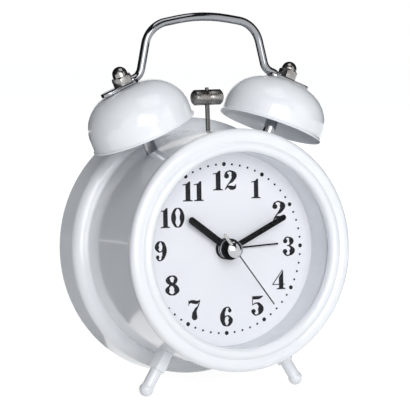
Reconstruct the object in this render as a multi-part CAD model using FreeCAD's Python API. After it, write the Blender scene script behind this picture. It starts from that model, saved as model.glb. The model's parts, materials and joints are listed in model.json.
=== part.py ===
import FreeCAD, Part
import math
import os

os.makedirs("parts", exist_ok=True)

V = FreeCAD.Vector

# A twin-bell quartz alarm clock, in millimetres.
# The clock frame: +X right, +Y back, +Z up, origin on the dial's axis, at the front of the bezel.
# At the end everything leans back onto its two feet and the rear rim, which puts it in the row frame.

# Case
bezel_r = 45.0             # outside of the front bezel
bezel_width = 8.7          # from its outside in to the window
outer_bead_r = 2.3
inner_bead_r = 2.0
outer_bead_y = 1.3         # centres of the two beads' round sections
inner_bead_y = 0.3
bead_valley_in = 4.6       # from the bezel's outside to the valley between its beads
bead_valley_y = -0.45
bezel_sheet = 0.45
bezel_fit = 0.05           # between the bezel's skirt and the drum
skirt_end = 3.0            # the skirt reaches this far back over the drum
drum_sheet = 0.6
drum_front = 1.5
step_y = 42.5              # where the drum steps out to the rear rim
step_fillet = 1.0
step_flat = 0.5
shoulder_r = 4.0
rim_flare = 0.7            # from the shoulder to the rim's back edge
case_depth = 57.0

# Window, dial and what holds them
glass_t = 1.5
glass_margin = 0.3
ring_t = 0.8               # wall of the reflector ring
ring_set_back = 0.7        # and how far outside the window's opening it stands
plate_gap = 0.5            # between the drum's inside and the plates in it
ring_lip = 0.6             # the ring's front lip, forward of the outer bead's middle
dial_y = 15.3              # front face of the dial
dial_t = 0.4
carrier_t = 1.5
tie_inset = 4.5            # the three tie screws stand this far inside the drum
tie_angles = (30.0, 150.0, 270.0)
tie_screw_r = 1.25
tie_screw_in_boss = 8.0    # forward of the dial
screw_head_r = 2.5
screw_head_h = 1.0
screw_slot_w = 0.75
screw_slot_d = 0.4
tie_sleeve_r = 2.6
screw_gap = 0.06           # a screw or arbor in its hole
seat_gap = 0.3             # pieces that lie loose beside each other

# Hands, front face of each
hand_t = 0.4
alarm_hand_y = 13.6
hour_hand_y = 12.0
minute_hand_y = 10.4
second_hand_y = 6.6
hour_hand_length = 20.0
hour_hand_width = 2.7
minute_hand_length = 26.1
minute_hand_width = 2.2
second_hand_length = 26.5
second_tail_length = 7.6
second_hand_width = 0.5
second_hand_t = 0.25
alarm_hand_length = 21.6
alarm_hand_width = 0.6
hub_r = 4.0
second_cap_r = 3.1
second_cap_h = 2.0
second_hub_r = 2.5
hour_hand_turn = -53.5     # clockwise from twelve, as the clock shows ten past ten
minute_hand_turn = 63.5
second_hand_turn = 143.0
alarm_hand_turn = 86.9

# Movement: nested arbors on the dial's axis
second_arbor_r = 0.45
minute_tube_r = 1.25
hour_tube_r = 2.1
alarm_tube_r = 3.0
bush_r = 3.7
pivot_r = 0.5              # the train's other arbors
knob_arbor_r = 0.75
movement_half_w = 25.0
movement_top = 22.0
movement_bottom = -28.0
movement_back = 31.8
movement_wall = 1.2

# Gear teeth, in shares of the module and of the pitch
tooth_below = 1.25
tooth_above = 0.8
tooth_root_half = 0.27
tooth_tip_half = 0.11

# Gear planes, front face of each
wheel_t = 0.9
alarm_wheel_y = 19.2
hour_wheel_y = 20.8
cannon_y = 22.4
centre_wheel_y = 24.0
third_wheel_y = 26.0
second_wheel_y = 27.4
fifth_wheel_y = 29.0

# Tooth counts and modules
alarm_wheel_teeth = 40
alarm_pinion_teeth = 16
alarm_module = 0.40
cannon_teeth = 12
minute_wheel_teeth = 36
minute_pinion_teeth = 10
hour_wheel_teeth = 40
motion_module = 0.45
second_pinion_teeth = 8
third_wheel_teeth = 60
third_pinion_teeth = 8
centre_wheel_teeth = 64
third_module = 0.30
second_wheel_teeth = 60
fifth_pinion_teeth = 15
fifth_module = 0.30
fifth_wheel_teeth = 60
rotor_pinion_teeth = 8
rotor_module = 0.25
strike_gear_teeth = 32
motor_pinion_teeth = 8
strike_module = 0.35
third_direction = -120.0   # from the dial's axis, counted from +X towards +Z
fifth_direction = -20.0
rotor_direction = -80.0    # from the fifth wheel

# Stepping motor
rotor_magnet_r = 2.5
rotor_magnet_t = 2.2
stator_t = 1.2
stator_air_gap = 0.5
coil_r = 3.2
stator_right = 21.5
stator_left = 5.0
stator_bottom = -24.0
stator_top = -8.2
stator_rail = 3.0
stator_yoke = 1.5          # metal left beneath the rotor's hole
coil_core_h = 2.0
coil_end_gap = 0.1
board_t = 1.0
board_left = 6.0
board_top = -11.2
chip_w = 4.0
chip_t = 0.8
chip_inset = 2.0
crystal_r = 1.0
crystal_length = 6.0
crystal_inset = 2.0
crystal_z = -19.2

# Rear cover, its controls and the battery
cover_t = 2.0
cover_recess = 1.0         # the cover lies this far inside the rim's back edge
cover_gap = 0.3
cover_skirt_t = 1.1
time_knob_r = 6.5
alarm_knob_r = 5.0
knob_h = 5.0
knob_chamfer = 0.5
knob_gap = 0.6             # between a knob and the cover
knob_flutes = 24
flute_r = 0.45
battery_r = 7.25
battery_length = 49.5
battery_nub_r = 2.75
battery_nub_h = 1.0
battery_edge_r = 0.6
battery_z = -24.0
tray_wall = 1.2
cell_play = 0.9
contact_t = 0.4
contact_half_w = 5.0
contact_coil_r = 3.4
contact_wire_r = 0.35
contact_turns = 3.5
contact_spring_length = 3.2
contact_gap = 0.2
door_gap = 0.4
door_pin_r = 0.6
door_pin_length = 1.1
door_notch_r = 4.0         # finger notch near the free edge
door_notch_d = 0.6
door_notch_inset = 3.5
switch_x = 19.0
switch_z = 8.0
switch_travel = 4.0
switch_stem_w = 3.0
switch_stem_h = 2.4
switch_pad_w = 5.0
switch_pad_h = 4.0
switch_pad_t = 1.7
switch_foot_t = 1.1
switch_foot_w = 5.0
switch_groove_pitch = 1.3
switch_groove_w = 0.5
switch_groove_d = 0.4
switch_body_margin = 3.0   # past the stem's travel
switch_body_t = 4.0
switch_body_h = 8.0

# Bells, posts, handle and hammer stand in their own upright plane,
# which sits slightly turned and tipped forward on the case
crown_y = 26.0
crown_turn = 1.7           # about the dial's axis
crown_nod = 1.8            # forward
bell_direction = 30.58     # the centre of a bell's rim, from straight up
bell_stand = 7.5           # and above the drum
bell_tilt = 22.2
bell_rim_r = 20.3
bell_wall_r = 19.8         # where the wall meets the dome
bell_dome_start = 5.1
bell_height = 18.5
bell_crown_r = 4.6         # flat top under the handle
bell_t = 0.8
bell_lip_h = 0.6
post_r = 2.35
stud_r = 1.95
stud_hole_r = 2.15
stud_in_nut = 2.2          # how far a stud reaches into its acorn nut
stud_past_nut = 2.5        # and past the plain nut inside
handle_rod_r = 1.6
handle_crown_h = 44.5      # corners of the handle's centre line above the drum, before they are rounded
handle_shoulder_h = 40.0
handle_inset = 4.0         # a shoulder, inwards of the bell's centre
handle_leg_lean = 12.5
handle_crown_bend = 65.0
handle_shoulder_bend = 8.0
handle_foot_bend = 5.0
handle_run_out = 0.5       # straight end of the rod where it is flattened into the tab
handle_rod_lift = 0.05     # the rod's underside above the bell's flat top
handle_tab_t = 1.5
handle_tab_w = 6.0
handle_tab_reach = 10.0    # past the nut's axis
nut_across_flats = 7.0
nut_hex_h = 3.2
nut_dome_r = 2.9
nut_total_h = 6.8
nut_chamfer = 0.9
plain_nut_h = 3.2
pad_r = 4.5
pad_t = 1.5

# Striker
pivot_depth = 7.5          # below the drum's top
crank_drop = 7.0           # below the pivot
crank_r = 1.1
crank_pin_r = 0.6
hammer_h = 12.7            # above the drum's top
hammer_r = 2.95
hammer_length = 11.9
hammer_chamfer = 0.7
hammer_swing = 7.0         # degrees each way before it meets a bell
hammer_groove_w = 1.6
hammer_groove_d = 0.3
lever_w = 1.35
lever_t = 1.2
lever_hub_r = 1.9
lever_rivet = 0.8          # the arm's end, past the head
pivot_pin_r = 0.8
frame_y = 4.2              # the striker frame's plate, behind the hammer's plane
frame_t = 1.2
frame_half_w = 16.5
frame_above_pivot = 4.5
frame_leg_w = 4.0
frame_leg_above_crank = 2.0
strike_gear_y = 1.6
strike_gear_t = 1.4
motor_w = 12.0
motor_h = 10.0
motor_length = 15.0
motor_shaft_r = 0.5
yoke_wall = 1.2
spring_t = 0.25
spring_w = 1.6
spring_gap = 0.1           # between a leaf and the arm at the end of its swing
slot_margin = 0.5

# Feet
foot_direction = 31.35     # from straight down
foot_y = 20.0
foot_ball_r = 2.7
foot_reach = 15.65         # the ball's centre, from the drum
foot_shank_r = 2.25
foot_collar_flats = 6.0
foot_collar_h = 7.5
foot_seat = 1.0            # the collar is cut to the drum from this far inside
foot_flat = 0.12           # ground off each ball where it stands
foot_stud_r = 1.5
foot_nut_flats = 5.5
foot_nut_h = 2.4


def clock_rod(radius, front, back, x=0.0, z=0.0):
    return Part.makeCylinder(radius, back - front, V(x, front, z), V(0, 1, 0))


def clock_tube(outer, inner, front, back, x=0.0, z=0.0):
    return clock_rod(outer, front, back, x, z).cut(clock_rod(inner, front, back, x, z))


def block(x0, x1, y0, y1, z0, z1):
    return Part.makeBox(x1 - x0, y1 - y0, z1 - z0, V(x0, y0, z0))


def around(angle, radius):
    # a place on a circle about the dial's axis, counted from +X towards +Z
    return (radius * math.cos(math.radians(angle)), radius * math.sin(math.radians(angle)))


def outline(start, steps):
    # a closed face: each step is a corner, or a point on an arc with the arc's end
    edges = []
    here = V(start[0], start[1], 0)
    for step in list(steps) + [start]:
        if isinstance(step[0], tuple):
            middle = V(step[0][0], step[0][1], 0)
            there = V(step[1][0], step[1][1], 0)
            edges.append(Part.Arc(here, middle, there).toShape())
        else:
            there = V(step[0], step[1], 0)
            if there.distanceToPoint(here) > 1e-6:
                edges.append(Part.LineSegment(here, there).toShape())
        here = there
    return Part.Face(Part.Wire(edges))


def turned(start, steps):
    # an outline in (radius, y) turned about the dial's axis
    return outline(start, steps).revolve(V(0, 0, 0), V(0, 1, 0), 360)


def arc_point(centre, radius, angle):
    a = math.radians(angle)
    return (centre[0] + radius * math.cos(a), centre[1] + radius * math.sin(a))


def level_arc_middle(crest, valley):
    # the middle of the arc that leaves the crest level and ends in the valley
    across = valley[0] - crest[0]
    down = valley[1] - crest[1]
    radius = (across ** 2 + down ** 2) / (2 * down)
    centre = (crest[0], crest[1] + radius)
    end = math.degrees(math.atan2(valley[1] - centre[1], valley[0] - centre[0]))
    return arc_point(centre, radius, (end - 90) / 2)


def hexagon(flats, height, base, direction):
    corner = flats / math.sqrt(3)
    points = []
    for i in range(7):
        a = math.radians(60 * i)
        points.append(V(corner * math.cos(a), corner * math.sin(a), 0))
    solid = Part.Face(Part.makePolygon(points)).extrude(V(0, 0, height))
    solid.Placement = FreeCAD.Placement(base, FreeCAD.Rotation(V(0, 0, 1), direction))
    return solid


def nut(flats, height, hole_r, base, direction):
    return hexagon(flats, height, base, direction).cut(Part.makeCylinder(hole_r, height, base, direction))


def gear(module, teeth, front, thickness, at=(0.0, 0.0), tooth_at=0.0, bore=0.0):
    # straight-flanked teeth with plenty of backlash, one tooth's middle at tooth_at
    pitch_r = module * teeth / 2
    root_r = pitch_r - tooth_below * module
    tip_r = pitch_r + tooth_above * module
    pitch = 360.0 / teeth
    points = []
    for i in range(teeth):
        middle = tooth_at + i * pitch
        for share, radius in ((-tooth_root_half, root_r), (-tooth_tip_half, tip_r),
                              (tooth_tip_half, tip_r), (tooth_root_half, root_r)):
            x, z = around(middle + share * pitch, radius)
            points.append(V(at[0] + x, front, at[1] + z))
    points.append(points[0])
    solid = Part.Face(Part.makePolygon(points)).extrude(V(0, thickness, 0))
    if bore > 0:
        solid = solid.cut(clock_rod(bore, front, front + thickness, at[0], at[1]))
    return solid


def full_circles(shape, radius):
    # the edges that go all the way round at this radius
    return [edge for edge in shape.Edges if edge.Length > 1.8 * math.pi * radius]


def gap_at(angle, teeth):
    # turns a gear so that the middle of a gap, not of a tooth, stands at this angle
    return angle + 180.0 / teeth


def crown_place(shape):
    # from the crown's upright plane to the clock frame
    placed = shape.copy()
    placed.rotate(V(0, 0, drum_r), V(1, 0, 0), crown_nod)
    placed.translate(V(0, crown_y, 0))
    placed.rotate(V(0, 0, 0), V(0, 1, 0), -crown_turn)
    return placed


def mirrored(shape):
    return shape.mirror(V(0, 0, 0), V(1, 0, 0))


# Radii and places that follow from the sizes above
opening_r = bezel_r - bezel_width
ring_r = opening_r + ring_set_back
drum_r = bezel_r - bezel_sheet - bezel_fit
rim_r = drum_r + step_fillet + step_flat + shoulder_r
rim_back_r = rim_r + rim_flare
ring_flange_r = drum_r - drum_sheet - plate_gap
tie_r = drum_r - tie_inset
bell_x = (drum_r + bell_stand) * math.sin(math.radians(bell_direction))
bell_z = (drum_r + bell_stand) * math.cos(math.radians(bell_direction))
handle_shoulder_x = bell_x - handle_inset
handle_shoulder_z = drum_r + handle_shoulder_h
handle_crown_z = drum_r + handle_crown_h
hammer_z = drum_r + hammer_h
pivot_z = drum_r - pivot_depth
crank_z = pivot_z - crank_drop
foot_ball_centre = drum_r + foot_reach
glass_front = outer_bead_y + bezel_sheet
glass_back = glass_front + glass_t
dial_back = dial_y + dial_t
carrier_back = dial_back + carrier_t
cover_back = case_depth - cover_recess
cover_front = cover_back - cover_t
shell_back = movement_back - movement_wall
outer_bead_c = bezel_r - outer_bead_r
inner_bead_c = opening_r + inner_bead_r
motion_distance = motion_module * (cannon_teeth + minute_wheel_teeth) / 2
hour_module = 2 * motion_distance / (minute_pinion_teeth + hour_wheel_teeth)
third_distance = third_module * (second_pinion_teeth + third_wheel_teeth) / 2
centre_module = 2 * third_distance / (third_pinion_teeth + centre_wheel_teeth)
fifth_distance = fifth_module * (second_wheel_teeth + fifth_pinion_teeth) / 2
rotor_distance = rotor_module * (fifth_wheel_teeth + rotor_pinion_teeth) / 2
alarm_distance = alarm_module * (alarm_wheel_teeth + alarm_pinion_teeth) / 2
strike_distance = strike_module * (strike_gear_teeth + motor_pinion_teeth) / 2
minute_wheel_at = (0.0, motion_distance)
third_at = around(third_direction, third_distance)
fifth_at = around(fifth_direction, fifth_distance)
rotor_at = (fifth_at[0] + around(rotor_direction, rotor_distance)[0],
            fifth_at[1] + around(rotor_direction, rotor_distance)[1])
alarm_knob_at = (-alarm_distance, 0.0)
tray_room = contact_spring_length + contact_gap + battery_length + battery_nub_h + cell_play
tray_half_w = tray_room / 2 + contact_t + tray_wall
tray_half_h = battery_r + door_gap + tray_wall
battery_y = cover_front - battery_r - seat_gap
tray_front = battery_y - battery_r - seat_gap - tray_wall
knob_front = cover_back + knob_gap
bell_sin = math.sin(math.radians(bell_tilt))
bell_cos = math.cos(math.radians(bell_tilt))


def bezel():
    ob = (outer_bead_c, outer_bead_y)
    ib = (inner_bead_c, inner_bead_y)
    hollow_r = outer_bead_r - bezel_sheet
    outer_crest = arc_point(ob, outer_bead_r, -90)
    inner_crest = arc_point(ib, inner_bead_r, -90)
    valley = (bezel_r - bead_valley_in, bead_valley_y)
    return turned(
        (bezel_r, skirt_end),
        [(bezel_r, outer_bead_y),
         (arc_point(ob, outer_bead_r, -45), outer_crest),
         (level_arc_middle(outer_crest, valley), valley),
         (level_arc_middle(inner_crest, valley), inner_crest),
         (arc_point(ib, inner_bead_r, -135), arc_point(ib, inner_bead_r, 180)),
         (opening_r, glass_front),
         (outer_bead_c - hollow_r, glass_front),
         (outer_bead_c - hollow_r, outer_bead_y),
         (arc_point(ob, hollow_r, -90), arc_point(ob, hollow_r, 0)),
         (bezel_r - bezel_sheet, skirt_end)])


def glass():
    return clock_rod(outer_bead_c - outer_bead_r - glass_margin, glass_front, glass_back)


def reflector_ring():
    front = glass_back
    bead_reach = outer_bead_y - ring_lip
    ring = turned(
        (ring_r, front),
        [(ring_flange_r - ring_t, front),
         (ring_flange_r - ring_t, bead_reach),
         (ring_flange_r, bead_reach),
         (ring_flange_r, front + ring_t),
         (ring_r + ring_t, front + ring_t),
         (ring_r - seat_gap + ring_t, dial_y - ring_t),
         (ring_flange_r, dial_y - ring_t),
         (ring_flange_r, dial_y),
         (ring_r - seat_gap, dial_y)])
    for angle in tie_angles:
        x, z = around(angle, tie_r)
        boss = clock_rod(tie_sleeve_r, front + ring_t, dial_y - ring_t, x, z)
        ring = ring.fuse(boss)
        ring = ring.cut(clock_rod(tie_screw_r + screw_gap, front + 2 * ring_t, dial_y, x, z))
    return ring.removeSplitter()


def holes_for_ties(shape, front, back):
    for angle in tie_angles:
        x, z = around(angle, tie_r)
        shape = shape.cut(clock_rod(tie_screw_r + screw_gap, front, back, x, z))
    return shape


def dial():
    plate = clock_tube(ring_flange_r, bush_r + seat_gap, dial_y, dial_back)
    return holes_for_ties(plate, dial_y, dial_back)


def movement_carrier():
    plate = clock_tube(ring_flange_r, bush_r + seat_gap, dial_back, carrier_back)
    return holes_for_ties(plate, dial_back, carrier_back)


def drum():
    flare = rim_flare / (case_depth - step_y - shoulder_r)
    concave = (drum_r + step_fillet, step_y - step_fillet)
    convex = (rim_r - shoulder_r, step_y + shoulder_r)
    shell = turned(
        (drum_r, drum_front),
        [(drum_r, concave[1]),
         (arc_point(concave, step_fillet, 135), (concave[0], step_y)),
         (convex[0], step_y),
         (arc_point(convex, shoulder_r, -45), (rim_r, convex[1])),
         (rim_back_r, case_depth),
         (rim_back_r - drum_sheet, case_depth),
         (rim_r - drum_sheet, convex[1] + flare * drum_sheet),
         (arc_point(convex, shoulder_r - drum_sheet, -45), (convex[0], step_y + drum_sheet)),
         (concave[0], step_y + drum_sheet),
         (arc_point(concave, step_fillet + drum_sheet, 135), (drum_r - drum_sheet, concave[1])),
         (drum_r - drum_sheet, drum_front)])
    for side in (1, -1):
        shell = shell.cut(crown_place(bell_axis_rod(stud_hole_r, post_foot() - pad_r, 0.0, side)))
        direction = foot_axis(side)
        reach = direction * (drum_r - 2 * drum_sheet)
        shell = shell.cut(Part.makeCylinder(foot_stud_r + seat_gap, 3 * drum_sheet,
                                            V(reach.x, foot_y, reach.z), direction))
    swing = (drum_r - pivot_z) * math.tan(math.radians(hammer_swing))
    half = lever_w / 2 + swing + slot_margin
    deep = lever_t / 2 + slot_margin
    above = 4 * drum_sheet
    return shell.cut(crown_place(block(-half, half, -deep, deep, drum_r - above, drum_r + above)))


def bell_axis_rod(radius, low, high, side):
    # a rod along a bell's axis, between two heights above the rim
    base = V(side * (bell_x + low * bell_sin), 0, bell_z + low * bell_cos)
    return Part.makeCylinder(radius, high - low, base, V(side * bell_sin, 0, bell_cos))


def upright_to_bell(shape, side):
    # from a bell standing on the origin to its place in the crown's plane
    placed = shape.copy()
    placed.rotate(V(0, 0, 0), V(0, 1, 0), side * bell_tilt)
    placed.translate(V(side * bell_x, 0, bell_z))
    return placed


def bell(side):
    def dome(inset):
        centre = V(bell_crown_r, 0, bell_dome_start)
        wide = bell_wall_r - bell_crown_r - inset
        tall = bell_height - bell_dome_start - inset
        ellipse = Part.Ellipse(centre + V(wide, 0, 0), centre + V(0, 0, tall), centre)
        return Part.Arc(ellipse, 0, math.pi / 2).toShape()

    lip = bell_lip_h
    outer = dome(0.0)
    inner = dome(bell_t)
    o_low, o_high = outer.Vertexes[0].Point, outer.Vertexes[1].Point
    i_low, i_high = inner.Vertexes[0].Point, inner.Vertexes[1].Point
    corners = [i_low, V(bell_rim_r - bell_t, 0, 0), V(bell_rim_r, 0, 0), V(bell_rim_r, 0, lip), o_low]
    lower = [Part.LineSegment(a, b).toShape() for a, b in zip(corners, corners[1:])]
    hole = [o_high, V(stud_hole_r, 0, o_high.z), V(stud_hole_r, 0, i_high.z), i_high]
    upper = [Part.LineSegment(a, b).toShape() for a, b in zip(hole, hole[1:])]
    wire = Part.Wire(lower + [outer] + upper + [inner])
    shell = Part.Face(wire).revolve(V(0, 0, 0), V(0, 0, 1), 360)
    return crown_place(upright_to_bell(shell, side))


def bell_post(side):
    top = bell_height - bell_t
    nut_end = bell_height + handle_tab_t + stud_in_nut
    inside = post_foot() - drum_sheet - pad_t - plain_nut_h - stud_past_nut
    shank = crown_place(bell_axis_rod(post_r, post_foot() - pad_r, top, side))
    shank = shank.cut(clock_rod(drum_r, 0, case_depth))
    stud = crown_place(bell_axis_rod(stud_r, inside, nut_end, side))
    return shank.fuse(stud).removeSplitter()


def bell_pads():
    # moulded pads that fit the drum's inside under each post's nut
    solids = []
    foot = post_foot()
    for side in (1, -1):
        pad = crown_place(bell_axis_rod(pad_r, foot - drum_sheet - pad_t, foot + pad_t, side))
        pad = pad.cut(crown_place(bell_axis_rod(stud_r + screw_gap, foot - pad_r, foot + pad_r, side)))
        solids.append(pad.common(clock_rod(drum_r - drum_sheet, 0, step_y)))
    return Part.Compound(solids)


def post_foot():
    # height of the drum's surface on a post's axis, counted from the bell's rim
    half = bell_x * bell_sin + bell_z * bell_cos
    return -half + math.sqrt(half * half - (bell_x ** 2 + bell_z ** 2 - drum_r ** 2))


def post_nuts():
    solids = []
    height = post_foot() - drum_sheet - pad_t - plain_nut_h
    for side in (1, -1):
        base = V(side * (bell_x + height * bell_sin), 0, bell_z + height * bell_cos)
        direction = V(side * bell_sin, 0, bell_cos)
        solids.append(crown_place(nut(nut_across_flats, plain_nut_h, stud_r + screw_gap, base, direction)))
    return Part.Compound(solids)


def acorn_nuts():
    solids = []
    dome_base = nut_total_h - nut_dome_r
    for side in (1, -1):
        body = hexagon(nut_across_flats, nut_hex_h, V(0, 0, 0), V(0, 0, 1))
        flats_r = nut_across_flats / 2
        cone = Part.makeCone(flats_r + nut_chamfer, flats_r, nut_chamfer, V(0, 0, nut_hex_h - nut_chamfer))
        body = body.common(cone.fuse(Part.makeCylinder(nut_across_flats, nut_hex_h - nut_chamfer)))
        body = body.fuse(Part.makeCylinder(nut_dome_r, dome_base))
        body = body.fuse(Part.makeSphere(nut_dome_r, V(0, 0, dome_base)))
        body = body.cut(Part.makeCylinder(stud_r + screw_gap, nut_hex_h))
        body = body.common(Part.makeCylinder(nut_across_flats, nut_total_h))
        body.translate(V(0, 0, bell_height + handle_tab_t))
        solids.append(crown_place(upright_to_bell(body, side)))
    return Part.Compound(solids)


def rounded_path(corners, bends):
    # straight runs between corners, each inner corner rounded by a tangent arc
    edges = []
    here = corners[0]
    for before, corner, after, bend in zip(corners, corners[1:], corners[2:], bends):
        back = (before - corner).normalize()
        ahead = (after - corner).normalize()
        half = back.getAngle(ahead) / 2
        leave = corner + back * (bend / math.tan(half))
        join = corner + ahead * (bend / math.tan(half))
        centre = corner + (back + ahead).normalize() * (bend / math.sin(half))
        middle = centre + (corner - centre).normalize() * bend
        edges.append(Part.LineSegment(here, leave).toShape())
        edges.append(Part.Arc(leave, middle, join).toShape())
        here = join
    edges.append(Part.LineSegment(here, corners[-1]).toShape())
    return Part.Wire(edges)


def handle():
    rod_middle = bell_height + handle_rod_r + handle_rod_lift
    tab_x = bell_x + rod_middle * bell_sin
    tab_z = bell_z + rod_middle * bell_cos
    lean = math.radians(handle_leg_lean)
    # the leg and the tab's line meet at the foot corner
    cross = math.sin(lean) * bell_sin - math.cos(lean) * bell_cos
    gap_x = handle_shoulder_x - tab_x
    gap_z = handle_shoulder_z - tab_z
    down = (gap_x * bell_sin + gap_z * bell_cos) / -cross
    foot = V(handle_shoulder_x + down * math.sin(lean), 0, handle_shoulder_z - down * math.cos(lean))
    tab_dir = V(bell_cos, 0, -bell_sin)
    half_turn = math.atan2(bell_cos, bell_sin) - lean
    reach = handle_foot_bend * math.tan(half_turn / 2)
    tab_start = foot + tab_dir * (reach + handle_run_out)
    shoulder = V(handle_shoulder_x, 0, handle_shoulder_z)
    right = [shoulder, foot, tab_start]
    left = [V(-p.x, 0, p.z) for p in reversed(right)]
    corners = left + [V(0, 0, handle_crown_z)] + right
    bends = [handle_foot_bend, handle_shoulder_bend, handle_crown_bend,
             handle_shoulder_bend, handle_foot_bend]
    path = rounded_path(corners, bends)
    start = corners[0]
    along = (corners[1] - corners[0]).normalize()
    section = Part.Wire([Part.makeCircle(handle_rod_r, start, along)])
    rod = path.makePipeShell([section], True, False)
    shape = rod
    for side in (1, -1):
        inner = (tab_start - V(tab_x, 0, tab_z)).dot(tab_dir) - handle_rod_r
        plate = block(inner, handle_tab_reach - handle_tab_w / 2, -handle_tab_w / 2, handle_tab_w / 2,
                      bell_height, bell_height + handle_tab_t)
        tip = Part.makeCylinder(handle_tab_w / 2, handle_tab_t,
                                V(handle_tab_reach - handle_tab_w / 2, 0, bell_height))
        plate = plate.fuse(tip)
        plate = plate.cut(Part.makeCylinder(stud_hole_r, handle_tab_t, V(0, 0, bell_height)))
        if side < 0:
            plate = mirrored(plate)
        shape = shape.fuse(upright_to_bell(plate, side))
    return crown_place(shape.removeSplitter())


def crown_rod(radius, y0, y1, x, z):
    return Part.makeCylinder(radius, y1 - y0, V(x, y0, z), V(0, 1, 0))


def hammer_head():
    half = hammer_length / 2
    body = Part.makeCylinder(hammer_r, hammer_length, V(-half, 0, hammer_z), V(1, 0, 0))
    body = body.makeChamfer(hammer_chamfer, full_circles(body, hammer_r))
    groove_start = V(-hammer_groove_w / 2, 0, hammer_z)
    groove = Part.makeCylinder(2 * hammer_r, hammer_groove_w, groove_start, V(1, 0, 0))
    waist = Part.makeCylinder(hammer_r - hammer_groove_d, hammer_groove_w, groove_start, V(1, 0, 0))
    body = body.cut(groove.cut(waist))
    hole = Part.makeCylinder(lever_w / 2, 4 * hammer_r, V(0, 0, hammer_z - 2 * hammer_r))
    return crown_place(body.cut(hole))


def hammer_lever():
    half = lever_w / 2
    thick = lever_t / 2
    rod = Part.makeCylinder(half, 2 * hammer_r + lever_rivet, V(0, 0, hammer_z - hammer_r))
    arm = block(-half, half, -thick, thick, pivot_z, hammer_z - hammer_r)
    hub = crown_rod(lever_hub_r, -thick, thick, 0, pivot_z)
    swing = (pivot_z - crank_z) * math.tan(math.radians(hammer_swing))
    window = crank_r + crank_pin_r + swing + seat_gap
    outer = window + yoke_wall
    top = crank_z + window
    yoke = block(-outer, outer, -thick, thick, crank_z - window, top + yoke_wall)
    yoke = yoke.cut(block(-window, window, -lever_t, lever_t, crank_z - 2 * window, top))
    stem = block(-half, half, -thick, thick, top + 0.5 * yoke_wall, pivot_z)
    lever = rod.fuse([arm, hub, yoke, stem])
    lever = lever.cut(crown_rod(pivot_pin_r + screw_gap, -lever_t, lever_t, 0, pivot_z))
    return crown_place(lever.removeSplitter())


def hammer_spring():
    # two leaves, one each side of the lever, on a tab fixed to the striker frame
    low = pivot_z + lever_hub_r + seat_gap
    high = drum_r - drum_sheet - 2 * seat_gap
    swing = (high - pivot_z) * math.tan(math.radians(hammer_swing))
    inner = lever_w / 2 + swing + spring_gap
    outer = inner + spring_t
    shape = block(-outer, outer, lever_t / 2 + seat_gap, frame_y, low, low + spring_w)
    for side in (1, -1):
        x0, x1 = sorted((side * inner, side * outer))
        shape = shape.fuse(block(x0, x1, -spring_w / 2, frame_y, low, high - spring_t))
    return crown_place(shape.removeSplitter())


def striker_frame():
    plate = block(-frame_half_w, frame_half_w, frame_y, frame_y + frame_t,
                  crank_z - motor_h / 2, pivot_z + frame_above_pivot)
    for side in (1, -1):
        x0, x1 = sorted((side * (frame_half_w - frame_leg_w), side * frame_half_w))
        leg = block(x0, x1, carrier_back - crown_y - frame_leg_w / 2, frame_y + frame_t,
                    crank_z - motor_h / 2, crank_z + frame_leg_above_crank)
        plate = plate.fuse(leg)
    plate = plate.cut(crown_rod(knob_arbor_r + screw_gap, frame_y, frame_y + frame_t, 0, crank_z))
    motor_hole = motor_pinion_teeth * strike_module / 2 + strike_module + 2 * seat_gap
    plate = plate.cut(crown_rod(motor_hole, frame_y, frame_y + frame_t, strike_distance, crank_z))
    placed = crown_place(plate)
    placed = placed.common(clock_rod(drum_r - drum_sheet - seat_gap, 0, case_depth))
    return placed.cut(block(-drum_r, drum_r, 0, carrier_back, -drum_r, drum_r)).removeSplitter()


def pivot_pin():
    pin = crown_rod(pivot_pin_r, -lever_t / 2 - seat_gap, frame_y, 0, pivot_z)
    return crown_place(pin)


def strike_gear():
    back = frame_y + frame_t + seat_gap
    shape = gear(strike_module, strike_gear_teeth, strike_gear_y, strike_gear_t, (0.0, crank_z), 0.0)
    shape = shape.fuse(crown_rod(knob_arbor_r, strike_gear_y, back, 0, crank_z))
    shape = shape.fuse(crown_rod(crank_pin_r, -lever_t / 2 - seat_gap, strike_gear_y + strike_gear_t,
                                 crank_r, crank_z))
    return crown_place(shape.removeSplitter())


def motor_pinion():
    at = (strike_distance, crank_z)
    front = strike_gear_y
    shape = gear(strike_module, motor_pinion_teeth, front, strike_gear_t, at,
                 gap_at(180.0, motor_pinion_teeth))
    back = frame_y + frame_t + motor_length
    shape = shape.fuse(crown_rod(motor_shaft_r, front, back, at[0], at[1]))
    return crown_place(shape.removeSplitter())


def striker_motor():
    x, z = strike_distance, crank_z
    front = frame_y + frame_t
    can = block(x - motor_w / 2, x + motor_w / 2, front, front + motor_length,
                z - motor_h / 2, z + motor_h / 2)
    upright = [e for e in can.Edges if abs(e.CenterOfMass.y - front - motor_length / 2) < 0.01]
    can = can.makeFillet(motor_h / 4, upright)
    can = can.cut(crown_rod(motor_shaft_r + screw_gap, front, front + motor_length, x, z))
    return crown_place(can)


def foot_axis(side):
    a = math.radians(foot_direction)
    return V(side * math.sin(a), 0, -math.cos(a))


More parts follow.
